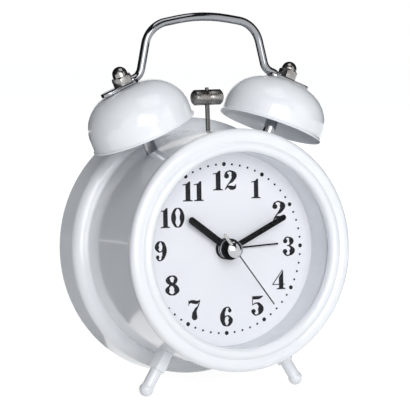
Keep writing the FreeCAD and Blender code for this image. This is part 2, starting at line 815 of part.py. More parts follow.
def foot(side):
    direction = foot_axis(side)
    start = direction * drum_r + V(0, foot_y, 0)
    centre = direction * foot_ball_centre + V(0, foot_y, 0)
    collar = hexagon(foot_collar_flats, foot_collar_h + foot_seat, start - direction * foot_seat, direction)
    collar = collar.cut(clock_rod(drum_r, 0, case_depth))
    shank = Part.makeCylinder(foot_shank_r, foot_ball_centre - drum_r, start, direction)
    ball = Part.makeSphere(foot_ball_r, centre)
    inside = drum_r - drum_sheet - foot_nut_h - pad_t
    stud_base = direction * inside + V(0, foot_y, 0)
    stud = Part.makeCylinder(foot_stud_r, drum_r + foot_seat - inside, stud_base, direction)
    shape = collar.fuse([shank, ball, stud])
    # a small flat, level with the ground once the clock leans back
    down = V(0, math.sin(lean), -math.cos(lean))
    flat = Part.makeCylinder(2 * foot_ball_r, foot_ball_r, centre + down * (foot_ball_r - foot_flat), down)
    return shape.cut(flat).removeSplitter()


def foot_nuts():
    solids = []
    for side in (1, -1):
        direction = foot_axis(side)
        height = drum_r - drum_sheet - foot_nut_h - seat_gap
        base = direction * height + V(0, foot_y, 0)
        solids.append(nut(foot_nut_flats, foot_nut_h, foot_stud_r + screw_gap, base, direction))
    return Part.Compound(solids)


def hand_strip(length, width, tail, front, thickness, turn, rounded):
    half = width / 2
    strip = block(-half, half, front, front + thickness, -tail, length - (half if rounded else 0))
    if rounded:
        strip = strip.fuse(clock_rod(half, front, front + thickness, 0, length - half))
    strip.rotate(V(0, 0, 0), V(0, 1, 0), turn)
    return strip


def hour_hand():
    shape = hand_strip(hour_hand_length, hour_hand_width, 0, hour_hand_y, hand_t, hour_hand_turn, True)
    shape = shape.fuse(clock_rod(hub_r, hour_hand_y, hour_hand_y + hand_t))
    return shape.cut(clock_rod(hour_tube_r, hour_hand_y, hour_hand_y + hand_t)).removeSplitter()


def minute_hand():
    shape = hand_strip(minute_hand_length, minute_hand_width, 0,
                       minute_hand_y, hand_t, minute_hand_turn, True)
    shape = shape.fuse(clock_rod(hub_r, minute_hand_y, minute_hand_y + hand_t))
    return shape.cut(clock_rod(minute_tube_r, minute_hand_y, minute_hand_y + hand_t)).removeSplitter()


def second_hand():
    front = second_hand_y
    shape = hand_strip(second_hand_length, second_hand_width, second_tail_length,
                       front, second_hand_t, second_hand_turn, False)
    shape = shape.fuse(clock_rod(second_hub_r, front, front + second_hand_t))
    return shape.cut(clock_rod(second_arbor_r, front, front + second_hand_t)).removeSplitter()


def second_hand_cap():
    # a domed cap in front of the hand and a collar behind it
    sphere_r = (second_cap_r ** 2 + (second_cap_h / 2) ** 2) / second_cap_h
    dome = Part.makeSphere(sphere_r, V(0, second_hand_y - second_cap_h / 2 + sphere_r, 0))
    dome = dome.common(clock_rod(second_cap_r, second_hand_y - second_cap_h, second_hand_y))
    return dome.cut(clock_rod(second_arbor_r, second_hand_y - second_cap_h / 4, second_hand_y))


def alarm_hand():
    shape = hand_strip(alarm_hand_length, alarm_hand_width, 0, alarm_hand_y, hand_t, alarm_hand_turn, False)
    shape = shape.fuse(clock_rod(hub_r, alarm_hand_y, alarm_hand_y + hand_t))
    return shape.cut(clock_rod(alarm_tube_r, alarm_hand_y, alarm_hand_y + hand_t)).removeSplitter()


def train_arbor(x, z):
    return clock_rod(pivot_r, carrier_back + seat_gap, movement_back - seat_gap, x, z)


def knob_arbor(x, z):
    return clock_rod(knob_arbor_r, carrier_back + seat_gap, knob_front + knob_h / 2, x, z)


def second_wheel():
    shape = gear(fifth_module, second_wheel_teeth, second_wheel_y, wheel_t,
                 tooth_at=gap_at(fifth_direction, second_wheel_teeth))
    shape = shape.fuse(gear(third_module, second_pinion_teeth, third_wheel_y, wheel_t,
                            tooth_at=third_direction))
    front = second_hand_y - second_cap_h / 4
    return shape.fuse(clock_rod(second_arbor_r, front, movement_back - seat_gap)).removeSplitter()


def third_wheel():
    x, z = third_at
    back = third_direction + 180.0
    shape = gear(third_module, third_wheel_teeth, third_wheel_y, wheel_t, third_at,
                 gap_at(back, third_wheel_teeth))
    shape = shape.fuse(gear(centre_module, third_pinion_teeth, centre_wheel_y, wheel_t, third_at, back))
    return shape.fuse(train_arbor(x, z)).removeSplitter()


def centre_wheel():
    # rides on the minute tube, which it drives through a friction clutch
    shape = gear(centre_module, centre_wheel_teeth, centre_wheel_y, wheel_t,
                 tooth_at=gap_at(third_direction, centre_wheel_teeth))
    return shape.cut(clock_rod(minute_tube_r + screw_gap, centre_wheel_y, centre_wheel_y + wheel_t))


def fifth_wheel():
    x, z = fifth_at
    shape = gear(rotor_module, fifth_wheel_teeth, fifth_wheel_y, wheel_t, fifth_at,
                 gap_at(rotor_direction, fifth_wheel_teeth))
    shape = shape.fuse(gear(fifth_module, fifth_pinion_teeth, second_wheel_y, wheel_t, fifth_at,
                            fifth_direction + 180.0))
    shape = shape.fuse(clock_rod(pivot_r, second_wheel_y, fifth_wheel_y + wheel_t, x, z))
    return shape.fuse(train_arbor(x, z)).removeSplitter()


def rotor():
    x, z = rotor_at
    shape = gear(rotor_module, rotor_pinion_teeth, fifth_wheel_y, wheel_t, rotor_at, rotor_direction + 180.0)
    magnet_front = third_wheel_y + wheel_t / 2 - rotor_magnet_t / 2
    shape = shape.fuse(clock_rod(rotor_magnet_r, magnet_front, magnet_front + rotor_magnet_t, x, z))
    return shape.fuse(train_arbor(x, z)).removeSplitter()


def minute_arbor():
    bore = second_arbor_r + screw_gap
    back = third_wheel_y - seat_gap
    shape = clock_rod(minute_tube_r, minute_hand_y, back)
    shape = shape.fuse(gear(motion_module, cannon_teeth, cannon_y, wheel_t, tooth_at=90.0))
    return shape.cut(clock_rod(bore, minute_hand_y, back)).removeSplitter()


def minute_wheel():
    x, z = minute_wheel_at
    shape = gear(motion_module, minute_wheel_teeth, cannon_y, wheel_t, minute_wheel_at,
                 gap_at(-90.0, minute_wheel_teeth))
    shape = shape.fuse(gear(hour_module, minute_pinion_teeth, hour_wheel_y, wheel_t, minute_wheel_at, -90.0))
    neck_r = minute_pinion_teeth * hour_module / 4
    shape = shape.fuse(clock_rod(neck_r, hour_wheel_y, cannon_y + wheel_t, x, z))
    return shape.fuse(knob_arbor(x, z)).removeSplitter()


def hour_wheel():
    bore = minute_tube_r + screw_gap
    back = hour_wheel_y + wheel_t
    shape = gear(hour_module, hour_wheel_teeth, hour_wheel_y, wheel_t,
                 tooth_at=gap_at(90.0, hour_wheel_teeth))
    shape = shape.fuse(clock_rod(hour_tube_r, hour_hand_y, back))
    return shape.cut(clock_rod(bore, hour_hand_y, back)).removeSplitter()


def alarm_wheel():
    bore = hour_tube_r + screw_gap
    back = alarm_wheel_y + wheel_t
    shape = gear(alarm_module, alarm_wheel_teeth, alarm_wheel_y, wheel_t,
                 tooth_at=gap_at(180.0, alarm_wheel_teeth))
    shape = shape.fuse(clock_rod(alarm_tube_r, alarm_hand_y, back))
    return shape.cut(clock_rod(bore, alarm_hand_y, back)).removeSplitter()


def alarm_pinion():
    x, z = alarm_knob_at
    shape = gear(alarm_module, alarm_pinion_teeth, alarm_wheel_y, wheel_t, alarm_knob_at, 0.0)
    return shape.fuse(knob_arbor(x, z)).removeSplitter()


def bearing_holes(shape, front, back):
    for place, radius in ((third_at, pivot_r), (fifth_at, pivot_r), (rotor_at, pivot_r),
                          (minute_wheel_at, knob_arbor_r), (alarm_knob_at, knob_arbor_r)):
        shape = shape.cut(clock_rod(radius + screw_gap, front, back, place[0], place[1]))
    return shape


def movement_front_shell():
    w, t = movement_half_w, movement_wall
    shell = block(-w, w, carrier_back, shell_back, movement_bottom, movement_top)
    shell = shell.cut(block(t - w, w - t, carrier_back + t, shell_back,
                            movement_bottom + t, movement_top - t))
    shell = shell.fuse(clock_rod(bush_r, dial_y - seat_gap, carrier_back + t))
    shell = shell.cut(clock_rod(alarm_tube_r + screw_gap, dial_y - seat_gap, carrier_back + t))
    return bearing_holes(shell, carrier_back, carrier_back + t).removeSplitter()


def movement_back_shell():
    w = movement_half_w
    lid = block(-w, w, shell_back, movement_back, movement_bottom, movement_top)
    lid = lid.cut(clock_rod(second_arbor_r + screw_gap, shell_back, movement_back))
    return bearing_holes(lid, shell_back, movement_back)


def stator():
    plane = third_wheel_y + wheel_t / 2
    front, back = plane - stator_t / 2, plane + stator_t / 2
    plate = block(stator_left, stator_right, front, back, stator_bottom, stator_top)
    rail_low = rotor_at[1] - rotor_magnet_r - stator_air_gap - stator_yoke
    core_top = stator_bottom + coil_core_h
    plate = plate.cut(block(stator_left + stator_rail, stator_right - stator_rail, front, back,
                            core_top, rail_low))
    return plate.cut(clock_rod(rotor_magnet_r + stator_air_gap, front, back, rotor_at[0], rotor_at[1]))


def coil():
    plane = third_wheel_y + wheel_t / 2
    z = stator_bottom + coil_core_h / 2
    left = stator_left + stator_rail + coil_end_gap
    right = stator_right - stator_rail - coil_end_gap
    winding = Part.makeCylinder(coil_r, right - left, V(left, plane, z), V(1, 0, 0))
    half_t = stator_t / 2 + screw_gap
    half_h = coil_core_h / 2 + screw_gap
    return winding.cut(block(left, right, plane - half_t, plane + half_t, z - half_h, z + half_h))


def circuit_board():
    front = carrier_back + movement_wall + seat_gap
    low = movement_bottom + 2 * movement_wall
    board = block(board_left, stator_right, front, front + board_t, low, board_top)
    board = board.cut(clock_rod(pivot_r + seat_gap, front, front + board_t, rotor_at[0], rotor_at[1]))
    chip_x = board_left + chip_inset
    chip_z = stator_bottom + coil_core_h
    chip = block(chip_x, chip_x + chip_w, front + board_t, front + board_t + chip_t, chip_z, chip_z + chip_w)
    return board.fuse(chip).removeSplitter()


def quartz_crystal():
    # a small can lying on the circuit board
    x = stator_right - crystal_length - crystal_inset
    y = carrier_back + movement_wall + seat_gap + board_t + crystal_r
    return Part.makeCylinder(crystal_r, crystal_length, V(x, y, crystal_z), V(1, 0, 0))


def tie_sleeves():
    inner = tie_screw_r + 2 * screw_gap
    places = [around(angle, tie_r) for angle in tie_angles]
    sleeves = [clock_tube(tie_sleeve_r, inner, carrier_back, cover_front, x, z) for x, z in places]
    return Part.Compound(sleeves)


def tie_screws():
    solids = []
    for angle in tie_angles:
        x, z = around(angle, tie_r)
        top = cover_back + screw_head_h
        head = clock_rod(screw_head_r, cover_back, top, x, z)
        head = head.cut(block(x - screw_head_r, x + screw_head_r, top - screw_slot_d, top,
                              z - screw_slot_w / 2, z + screw_slot_w / 2))
        shank = clock_rod(tie_screw_r, dial_y - tie_screw_in_boss, cover_back, x, z)
        solids.append(head.fuse(shank).removeSplitter())
    return Part.Compound(solids)


def door_axis():
    # (y, z) of the battery door's hinge
    return (cover_front + cover_t / 2, battery_z - tray_half_h + tray_wall + seat_gap + cover_t / 2)


def door_opening(grow):
    w = tray_half_w - tray_wall - door_gap + grow
    low = battery_z - tray_half_h + tray_wall
    high = battery_z + tray_half_h - tray_wall - door_gap + grow
    return w, low, high


def rear_cover():
    plate_r = rim_r + rim_flare / 2 - drum_sheet - cover_gap
    skirt_r = rim_r - shoulder_r
    skirt_front = step_y + drum_sheet
    cover = clock_rod(plate_r, cover_front, cover_back)
    cover = cover.fuse(clock_tube(skirt_r, skirt_r - cover_skirt_t, skirt_front, cover_front))
    w, low, high = door_opening(door_gap)
    cover = cover.cut(block(-w, w, cover_front, cover_back, low, high))
    y, z = door_axis()
    cover = cover.cut(Part.makeCylinder(door_pin_r + screw_gap, 2 * (w + door_pin_length),
                                        V(-w - door_pin_length, y, z), V(1, 0, 0)))
    for place in (minute_wheel_at, alarm_knob_at):
        cover = cover.cut(clock_rod(knob_arbor_r + screw_gap, cover_front, cover_back, place[0], place[1]))
    slot_h = switch_stem_h / 2 + seat_gap
    left = switch_x - switch_stem_w / 2 - seat_gap
    right = switch_x + switch_stem_w / 2 + switch_travel + seat_gap
    cover = cover.cut(block(left, right, cover_front, cover_back, switch_z - slot_h, switch_z + slot_h))
    return holes_for_ties(cover, cover_front, cover_back).removeSplitter()


def battery_door():
    w, low, high = door_opening(0.0)
    y, z = door_axis()
    barrel_r = cover_t / 2
    door = block(-w, w, cover_front, cover_back, z, high)
    door = door.fuse(Part.makeCylinder(barrel_r, 2 * w, V(-w, y, z), V(1, 0, 0)))
    pin = w + door_gap + door_pin_length - seat_gap
    door = door.fuse(Part.makeCylinder(door_pin_r, 2 * pin, V(-pin, y, z), V(1, 0, 0)))
    notch = clock_rod(door_notch_r, cover_back - door_notch_d, cover_back, 0, high - door_notch_inset)
    return door.cut(notch).removeSplitter()


def battery_tray():
    w, t = tray_half_w, tray_wall
    low, high = battery_z - tray_half_h, battery_z + tray_half_h
    tray = block(-w, w, tray_front, cover_front, low, high)
    return tray.cut(block(t - w, w - t, tray_front + t, cover_front, low + t, high - t))


def battery():
    left = -tray_half_w + tray_wall + contact_t + contact_spring_length + contact_gap
    cell = Part.makeCylinder(battery_r, battery_length, V(left, battery_y, battery_z), V(1, 0, 0))
    cell = cell.makeFillet(battery_edge_r, full_circles(cell, battery_r))
    tip = V(left + battery_length, battery_y, battery_z)
    nub = Part.makeCylinder(battery_nub_r, battery_nub_h, tip, V(1, 0, 0))
    return cell.fuse(nub).removeSplitter()


def contact_plate(x):
    half = contact_half_w
    return block(x, x + contact_t, battery_y - half, battery_y + half, battery_z - half, battery_z + half)


def positive_contact():
    return contact_plate(tray_half_w - tray_wall - contact_t)


def negative_contact():
    # a backing plate and a short coil that presses on the cell
    x = -tray_half_w + tray_wall
    length = contact_spring_length - 2 * contact_wire_r
    pitch = length / contact_turns
    helix = Part.makeHelix(pitch, length, contact_coil_r)
    start = V(contact_coil_r, 0, 0)
    along = V(0, 2 * math.pi * contact_coil_r, pitch).normalize()
    section = Part.Wire([Part.makeCircle(contact_wire_r, start, along)])
    coil_shape = Part.Wire(helix.Edges).makePipeShell([section], True, True)
    coil_shape.rotate(V(0, 0, 0), V(0, 1, 0), 90)
    coil_shape.translate(V(x + contact_t + contact_wire_r / 2, battery_y, battery_z))
    return contact_plate(x).fuse(coil_shape)


def knob(radius, place):
    x, z = place
    body = clock_rod(radius, knob_front, knob_front + knob_h, x, z)
    body = body.makeChamfer(knob_chamfer, full_circles(body, radius))
    for i in range(knob_flutes):
        dx, dz = around(360.0 * i / knob_flutes, radius)
        body = body.cut(clock_rod(flute_r, knob_front, knob_front + knob_h, x + dx, z + dz))
    return body.cut(clock_rod(knob_arbor_r, knob_front, knob_front + knob_h / 2, x, z))


def time_set_knob():
    return knob(time_knob_r, minute_wheel_at)


def alarm_set_knob():
    return knob(alarm_knob_r, alarm_knob_at)


def switch_block(width, front, back, height, x=switch_x):
    return block(x - width / 2, x + width / 2, front, back, switch_z - height / 2, switch_z + height / 2)


def alarm_switch_slider():
    foot_front = cover_front - seat_gap - switch_foot_t
    pad_front = cover_back + seat_gap
    pad_back = pad_front + switch_pad_t
    foot_part = switch_block(switch_foot_w, foot_front, cover_front - seat_gap, switch_pad_h)
    stem = switch_block(switch_stem_w, foot_front, pad_front, switch_stem_h)
    pad = switch_block(switch_pad_w, pad_front, pad_back, switch_pad_h)
    for i in (-1, 0, 1):
        groove_x = switch_x + i * switch_groove_pitch
        groove_front = pad_back - switch_groove_d
        pad = pad.cut(switch_block(switch_groove_w, groove_front, pad_back, switch_pad_h, groove_x))
    return foot_part.fuse([stem, pad]).removeSplitter()


def alarm_switch_body():
    width = switch_stem_w + switch_travel + 2 * switch_body_margin
    back = cover_front - 2 * seat_gap - switch_foot_t
    middle = switch_x + switch_travel / 2
    return switch_block(width, back - switch_body_t, back, switch_body_h, middle)


def ground_lean():
    # the ground touches both ball feet's flats and the rear rim's lowest point
    ball_z = -foot_ball_centre * math.cos(math.radians(foot_direction))
    dy = case_depth - foot_y
    dz = -rim_back_r - ball_z
    reach = math.asin((foot_ball_r - foot_flat) / math.hypot(dy, dz))
    return reach + math.atan2(dz, dy)


lean = ground_lean()


def build():
    return {
        "front_bezel": bezel(),
        "window_glass": glass(),
        "reflector_ring": reflector_ring(),
        "dial": dial(),
        "movement_carrier": movement_carrier(),
        "case_drum": drum(),
        "rear_cover": rear_cover(),
        "tie_screws": tie_screws(),
        "tie_sleeves": tie_sleeves(),
        "left_bell": bell(-1),
        "right_bell": bell(1),
        "left_bell_post": bell_post(-1),
        "right_bell_post": bell_post(1),
        "post_pads": bell_pads(),
        "post_nuts": post_nuts(),
        "acorn_nuts": acorn_nuts(),
        "handle": handle(),
        "left_foot": foot(-1),
        "right_foot": foot(1),
        "foot_nuts": foot_nuts(),
        "hammer_head": hammer_head(),
        "hammer_lever": hammer_lever(),
        "hammer_spring": hammer_spring(),
        "striker_frame": striker_frame(),
        "hammer_pivot_pin": pivot_pin(),
        "strike_gear": strike_gear(),
        "motor_pinion": motor_pinion(),
        "striker_motor": striker_motor(),
        "hour_hand": hour_hand(),
        "minute_hand": minute_hand(),
        "second_hand": second_hand(),
        "second_hand_cap": second_hand_cap(),
        "alarm_hand": alarm_hand(),
        "movement_front_shell": movement_front_shell(),
        "movement_back_shell": movement_back_shell(),
        "second_wheel": second_wheel(),
        "third_wheel": third_wheel(),
        "centre_wheel": centre_wheel(),
        "fifth_wheel": fifth_wheel(),
        "stepper_rotor": rotor(),
        "stepper_stator": stator(),
        "stepper_coil": coil(),
        "circuit_board": circuit_board(),
        "quartz_crystal": quartz_crystal(),
        "minute_arbor": minute_arbor(),
        "minute_wheel": minute_wheel(),
        "hour_wheel": hour_wheel(),
        "alarm_wheel": alarm_wheel(),
        "alarm_pinion": alarm_pinion(),
        "time_set_knob": time_set_knob(),
        "alarm_set_knob": alarm_set_knob(),
        "alarm_switch_slider": alarm_switch_slider(),
        "alarm_switch_body": alarm_switch_body(),
        "battery_tray": battery_tray(),
        "battery_door": battery_door(),
        "battery": battery(),
        "positive_contact": positive_contact(),
        "negative_contact": negative_contact(),
    }


def leaned(shape):
    placed = shape.copy()
    placed.rotate(V(0, 0, 0), V(1, 0, 0), -math.degrees(lean))
    return placed


def row_shift(shapes):
    # the row's origin: on the ground, in the middle of the clock's width and depth
    box = Part.Compound(shapes).optimalBoundingBox(False, False)
    return V(0, -(box.YMin + box.YMax) / 2, -box.ZMin)


nodes = {name: leaned(shape) for name, shape in build().items()}
shift = row_shift([nodes[name] for name in ("case_drum", "front_bezel", "left_foot", "right_foot",
                                            "time_set_knob", "handle")])
for name, shape in nodes.items():
    shape.translate(shift)
    shape.exportStep(os.path.join("parts", name + ".step"))
print("lean", round(math.degrees(lean), 3), "shift", round(shift.y, 4), round(shift.z, 4))
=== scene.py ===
import bpy
import json
import math
from mathutils import Matrix, Vector


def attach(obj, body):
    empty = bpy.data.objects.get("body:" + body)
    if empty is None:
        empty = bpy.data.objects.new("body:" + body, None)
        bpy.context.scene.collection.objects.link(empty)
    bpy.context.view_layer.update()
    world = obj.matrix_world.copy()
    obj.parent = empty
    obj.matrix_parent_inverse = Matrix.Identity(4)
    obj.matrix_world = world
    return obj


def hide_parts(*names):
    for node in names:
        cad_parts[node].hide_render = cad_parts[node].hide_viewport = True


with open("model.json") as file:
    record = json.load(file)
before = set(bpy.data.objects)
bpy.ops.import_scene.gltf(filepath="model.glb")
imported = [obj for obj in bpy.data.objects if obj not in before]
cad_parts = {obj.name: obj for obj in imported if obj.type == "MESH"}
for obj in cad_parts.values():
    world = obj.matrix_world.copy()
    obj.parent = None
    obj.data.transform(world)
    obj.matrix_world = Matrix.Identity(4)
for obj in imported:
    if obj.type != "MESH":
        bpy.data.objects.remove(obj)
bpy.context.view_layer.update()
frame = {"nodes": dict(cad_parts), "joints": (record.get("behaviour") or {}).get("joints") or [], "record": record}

# A white twin-bell alarm clock. Everything is in metres, and mm turns the clock's own sizes into them.
mm = 0.001
joints = {joint["name"]: joint for joint in frame["joints"]}
slotOf = {part["node"]: part["material_slot"] for part in frame["record"]["subparts"]}


# Where things are

clockSizes = {
    "dialDepth": 15.3,        # dial face behind the bezel's front
    "drumRadius": 44.5,
    "crownDepth": 26.0,       # the bells' plane
    "crownTurn": 1.7,         # degrees, about the dial's axis
    "crownNod": 1.8,          # degrees, forward
    "bellDirection": 30.58,   # degrees from straight up
    "bellStand": 7.5,
    "bellTilt": 22.2,
}


def clockPlace():
    # the clock's own frame: x right, y back along the dial's axis, z up the dial
    hinge = joints["seconds_turn"]
    back = Vector(hinge["axis"])
    right = Vector((1, 0, 0))
    up = right.cross(back)
    corner = Vector(hinge["pos_m"]) - back * clockSizes["dialDepth"] * mm
    turn = Matrix((right, back, up)).transposed().to_4x4()
    return Matrix.Translation(corner) @ turn


def crownPlace():
    top = Vector((0, 0, clockSizes["drumRadius"] * mm))
    nod = Matrix.Rotation(math.radians(clockSizes["crownNod"]), 4, "X")
    turn = Matrix.Rotation(math.radians(-clockSizes["crownTurn"]), 4, "Y")
    push = Matrix.Translation((0, clockSizes["crownDepth"] * mm, 0))
    return clockPlace() @ turn @ push @ Matrix.Translation(top) @ nod @ Matrix.Translation(-top)


def bellPlace(side):
    # a bell stands on its rim, with its axis up
    a = math.radians(clockSizes["bellDirection"])
    reach = (clockSizes["drumRadius"] + clockSizes["bellStand"]) * mm
    spot = Matrix.Translation((side * reach * math.sin(a), 0, reach * math.cos(a)))
    tilt = Matrix.Rotation(math.radians(side * clockSizes["bellTilt"]), 4, "Y")
    return crownPlace() @ spot @ tilt


# Small tools

def deselectAll():
    if bpy.context.object and bpy.context.object.mode != "OBJECT":
        bpy.ops.object.mode_set(mode="OBJECT")
    bpy.ops.object.select_all(action="DESELECT")


def pick(piece):
    deselectAll()
    piece.select_set(True)
    bpy.context.view_layer.objects.active = piece


def settle(piece, place, name):
    # the place goes into the mesh, and the object stays at the origin
    pick(piece)
    piece.name = name
    piece.data.name = name
    piece.matrix_world = place @ piece.matrix_world
    bpy.ops.object.transform_apply(location=True, rotation=True, scale=True)
    return piece


def applyModifier(piece, kind, **settings):
    pick(piece)
    modifier = piece.modifiers.new(kind.title(), kind)
    for key, value in settings.items():
        setattr(modifier, key, value)
    bpy.ops.object.modifier_apply(modifier=modifier.name)


def finishPiece(piece, body, slot, angle):
    pick(piece)
    bpy.ops.object.shade_smooth_by_angle(angle=math.radians(angle))
    piece.data.materials.clear()
    piece.data.materials.append(finishes[slot])
    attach(piece, body)


def mergedCopy(node, name):
    # a CAD mesh is loose triangles, so the copy is merged and its flat faces made whole
    piece = frame["nodes"][node].copy()
    piece.data = piece.data.copy()
    piece.parent = None
    piece.name = name
    piece.data.name = name
    for key in list(piece.keys()):
        del piece[key]
    bpy.context.scene.collection.objects.link(piece)
    pick(piece)
    bpy.ops.object.mode_set(mode="EDIT")
    bpy.ops.mesh.customdata_custom_splitnormals_clear()
    bpy.ops.mesh.select_all(action="SELECT")
    bpy.ops.mesh.remove_doubles(threshold=0.0005 * mm)
    bpy.ops.mesh.dissolve_limited(angle_limit=math.radians(0.6))
    bpy.ops.object.mode_set(mode="OBJECT")
    return piece


def breakEdges(piece, width, segments, sharper):
    applyModifier(piece, "BEVEL", width=width * mm, segments=segments, limit_method="ANGLE",
                  angle_limit=math.radians(sharper))


def softened(node, name, width):
    # the node's own shape with its sharp edges broken, as moulding, pressing or paint leaves them
    piece = mergedCopy(node, name)
    breakEdges(piece, width, 2, 30)
    return piece


def drawLine(points):
    # straight runs between points (across, up), in millimetres
    bpy.ops.curve.primitive_bezier_curve_add()
    curve = bpy.context.object
    curve.data.splines.clear()
    spline = curve.data.splines.new("POLY")
    spline.points.add(len(points) - 1)
    for point, (x, z) in zip(spline.points, points):
        point.co = (x * mm, 0, z * mm, 1)
    return curve, spline


def turnedProfile(name, outline, steps):
    # an outline in (radius, height) turned about the z axis
    spline = drawLine(outline)[1]
    spline.use_cyclic_u = True
    bpy.ops.object.convert(target="MESH")
    piece = bpy.context.object
    bpy.ops.object.mode_set(mode="EDIT")
    bpy.ops.mesh.select_all(action="SELECT")
    bpy.ops.mesh.spin(steps=steps, angle=2 * math.pi, center=(0, 0, 0), axis=(0, 0, 1))
    bpy.ops.mesh.select_all(action="SELECT")
    bpy.ops.mesh.remove_doubles(threshold=0.002 * mm)
    bpy.ops.mesh.normals_make_consistent(inside=False)
    bpy.ops.object.mode_set(mode="OBJECT")
    piece.name = name
    return piece


def arcPoints(centre, radius, start, end, count):
    points = []
    for i in range(count + 1):
        a = math.radians(start + (end - start) * i / count)
        points.append((centre[0] + radius * math.cos(a), centre[1] + radius * math.sin(a)))
    return points


# Materials

def linear(hexColour):
    # an sRGB hex value as Blender's linear colour
    channels = [int(hexColour[i:i + 2], 16) / 255 for i in (1, 3, 5)]
    flat = [c / 12.92 if c <= 0.04045 else ((c + 0.055) / 1.055) ** 2.4 for c in channels]
    return (*flat, 1.0)


def addNode(tree, kind, settings=None, links=None):
    node = tree.nodes.new(kind)
    for key, value in (settings or {}).items():
        if isinstance(key, int) or key in node.inputs:
            node.inputs[key].default_value = value
        else:
            setattr(node, key, value)
    for key, socket in (links or {}).items():
        tree.links.new(socket, node.inputs[key])
    return node


def newMaterial(name, colour, shaderSettings):
    material = bpy.data.materials.new(name)
    material.use_nodes = True
    tree = material.node_tree
    shader = tree.nodes["Principled BSDF"]
    shader.inputs["Base Color"].default_value = linear(colour)
    for key, value in shaderSettings.items():
        shader.inputs[key].default_value = value
    material.diffuse_color = linear(colour)
    return material, tree, shader


def tone(tree, shader, pattern, first, second):
    # the pattern moves the colour a little between two hex values
    mix = addNode(tree, "ShaderNodeMix", {"data_type": "RGBA", 6: linear(first), 7: linear(second)},
                  {0: pattern})
    tree.links.new(mix.outputs[2], shader.inputs["Base Color"])


def gloss(tree, shader, pattern, low, high):
    spread = addNode(tree, "ShaderNodeMapRange", {"To Min": low, "To Max": high}, {"Value": pattern})
    tree.links.new(spread.outputs["Result"], shader.inputs["Roughness"])


def relief(tree, shader, pattern, height, strength=1.0):
    bump = addNode(tree, "ShaderNodeBump", {"Strength": strength, "Distance": height * mm},
                   {"Height": pattern})
    tree.links.new(bump.outputs["Normal"], shader.inputs["Normal"])


def noise(tree, size, detail=2.0, stretch=(1, 1, 1)):
    # size is the width of one blotch or grain in millimetres
    coords = addNode(tree, "ShaderNodeTexCoord")
    mapping = addNode(tree, "ShaderNodeMapping", {"Scale": stretch}, {"Vector": coords.outputs["Object"]})
    return addNode(tree, "ShaderNodeTexNoise", {"Scale": 1 / (size * mm), "Detail": detail},
                   {"Vector": mapping.outputs["Vector"]}).outputs["Fac"]


waveBand = 0.314   # width of one band of a wave texture at scale 1


def stovedEnamel():
    # pressed steel, sprayed white and stoved: a deep even gloss with the faintest orange peel
    look = {"colour": "#F1F3F6", "shade": "#ECEFF3", "peel": 2.2, "peelHeight": 0.004}
    material, tree, shader = newMaterial("stovedEnamel", look["colour"], {
        "IOR": 1.5, "Coat Weight": 0.35, "Coat Roughness": 0.04})
    tone(tree, shader, noise(tree, 9.0), look["colour"], look["shade"])
    gloss(tree, shader, noise(tree, 4.0, 4.0), 0.10, 0.17)
    relief(tree, shader, noise(tree, look["peel"], 1.0), look["peelHeight"], 0.35)
    return material


def windowGlass():
    # cut float glass: clear, flat, with only a breath of sheen over the dial
    look = {"tint": "#20282A", "alpha": 0.03}
    material, tree, shader = newMaterial("windowGlass", look["tint"], {
        "IOR": 1.5, "Roughness": 0.02, "Alpha": look["alpha"]})
    gloss(tree, shader, noise(tree, 14.0), 0.015, 0.03)
    return material


def mouldedWhite():
    # white polystyrene from a satin tool: softer than the enamel, with a fine grain
    look = {"colour": "#ECEEF1", "shade": "#E5E8EC"}
    material, tree, shader = newMaterial("mouldedWhitePlastic", look["colour"], {"IOR": 1.49})
    tone(tree, shader, noise(tree, 7.0), look["colour"], look["shade"])
    gloss(tree, shader, noise(tree, 2.0, 4.0), 0.32, 0.42)
    relief(tree, shader, noise(tree, 0.35, 2.0), 0.006, 0.3)
    return material


def dialPaint():
    # lithographed dial, matt white with a cool cast
    look = {"colour": "#F7F8FC", "shade": "#F3F4FA"}
    material, tree, shader = newMaterial("dialPaint", look["colour"], {"IOR": 1.45})
    tone(tree, shader, noise(tree, 12.0), look["colour"], look["shade"])
    gloss(tree, shader, noise(tree, 0.6, 3.0), 0.45, 0.55)
    relief(tree, shader, noise(tree, 0.25, 2.0), 0.003, 0.3)
    return material


def printedInk():
    # screen-printed black, thick enough to stand a hair proud
    look = {"colour": "#101116", "shade": "#17181E"}
    material, tree, shader = newMaterial("printedInk", look["colour"], {"IOR": 1.35})
    tone(tree, shader, noise(tree, 0.5), look["colour"], look["shade"])
    gloss(tree, shader, noise(tree, 0.4, 3.0), 0.5, 0.65)
    return material


def blackHandPaint():
    # stamped hands, sprayed satin black, with a little dust in the paint
    look = {"colour": "#060709", "dust": "#6A6B70", "speck": 0.3}
    material, tree, shader = newMaterial("blackHandPaint", look["colour"], {"IOR": 1.22})
    grains = addNode(tree, "ShaderNodeMapRange", {"From Min": 0.7, "From Max": 0.76},
                     {"Value": noise(tree, look["speck"], 1.0)})
    tone(tree, shader, grains.outputs["Result"], look["colour"], look["dust"])
    gloss(tree, shader, noise(tree, 1.5, 3.0), 0.42, 0.54)
    return material


def polishedChrome(name="polishedChrome", colour="#A6A8AC", shade="#97999E"):
    # nickel and chrome over polished steel: a clean mirror with fine rubbing marks
    look = {"colour": colour, "shade": shade}
    material, tree, shader = newMaterial(name, look["colour"], {"Metallic": 1.0})
    tone(tree, shader, noise(tree, 6.0), look["colour"], look["shade"])
    gloss(tree, shader, noise(tree, 0.8, 5.0, (1, 1, 6)), 0.05, 0.12)
    return material


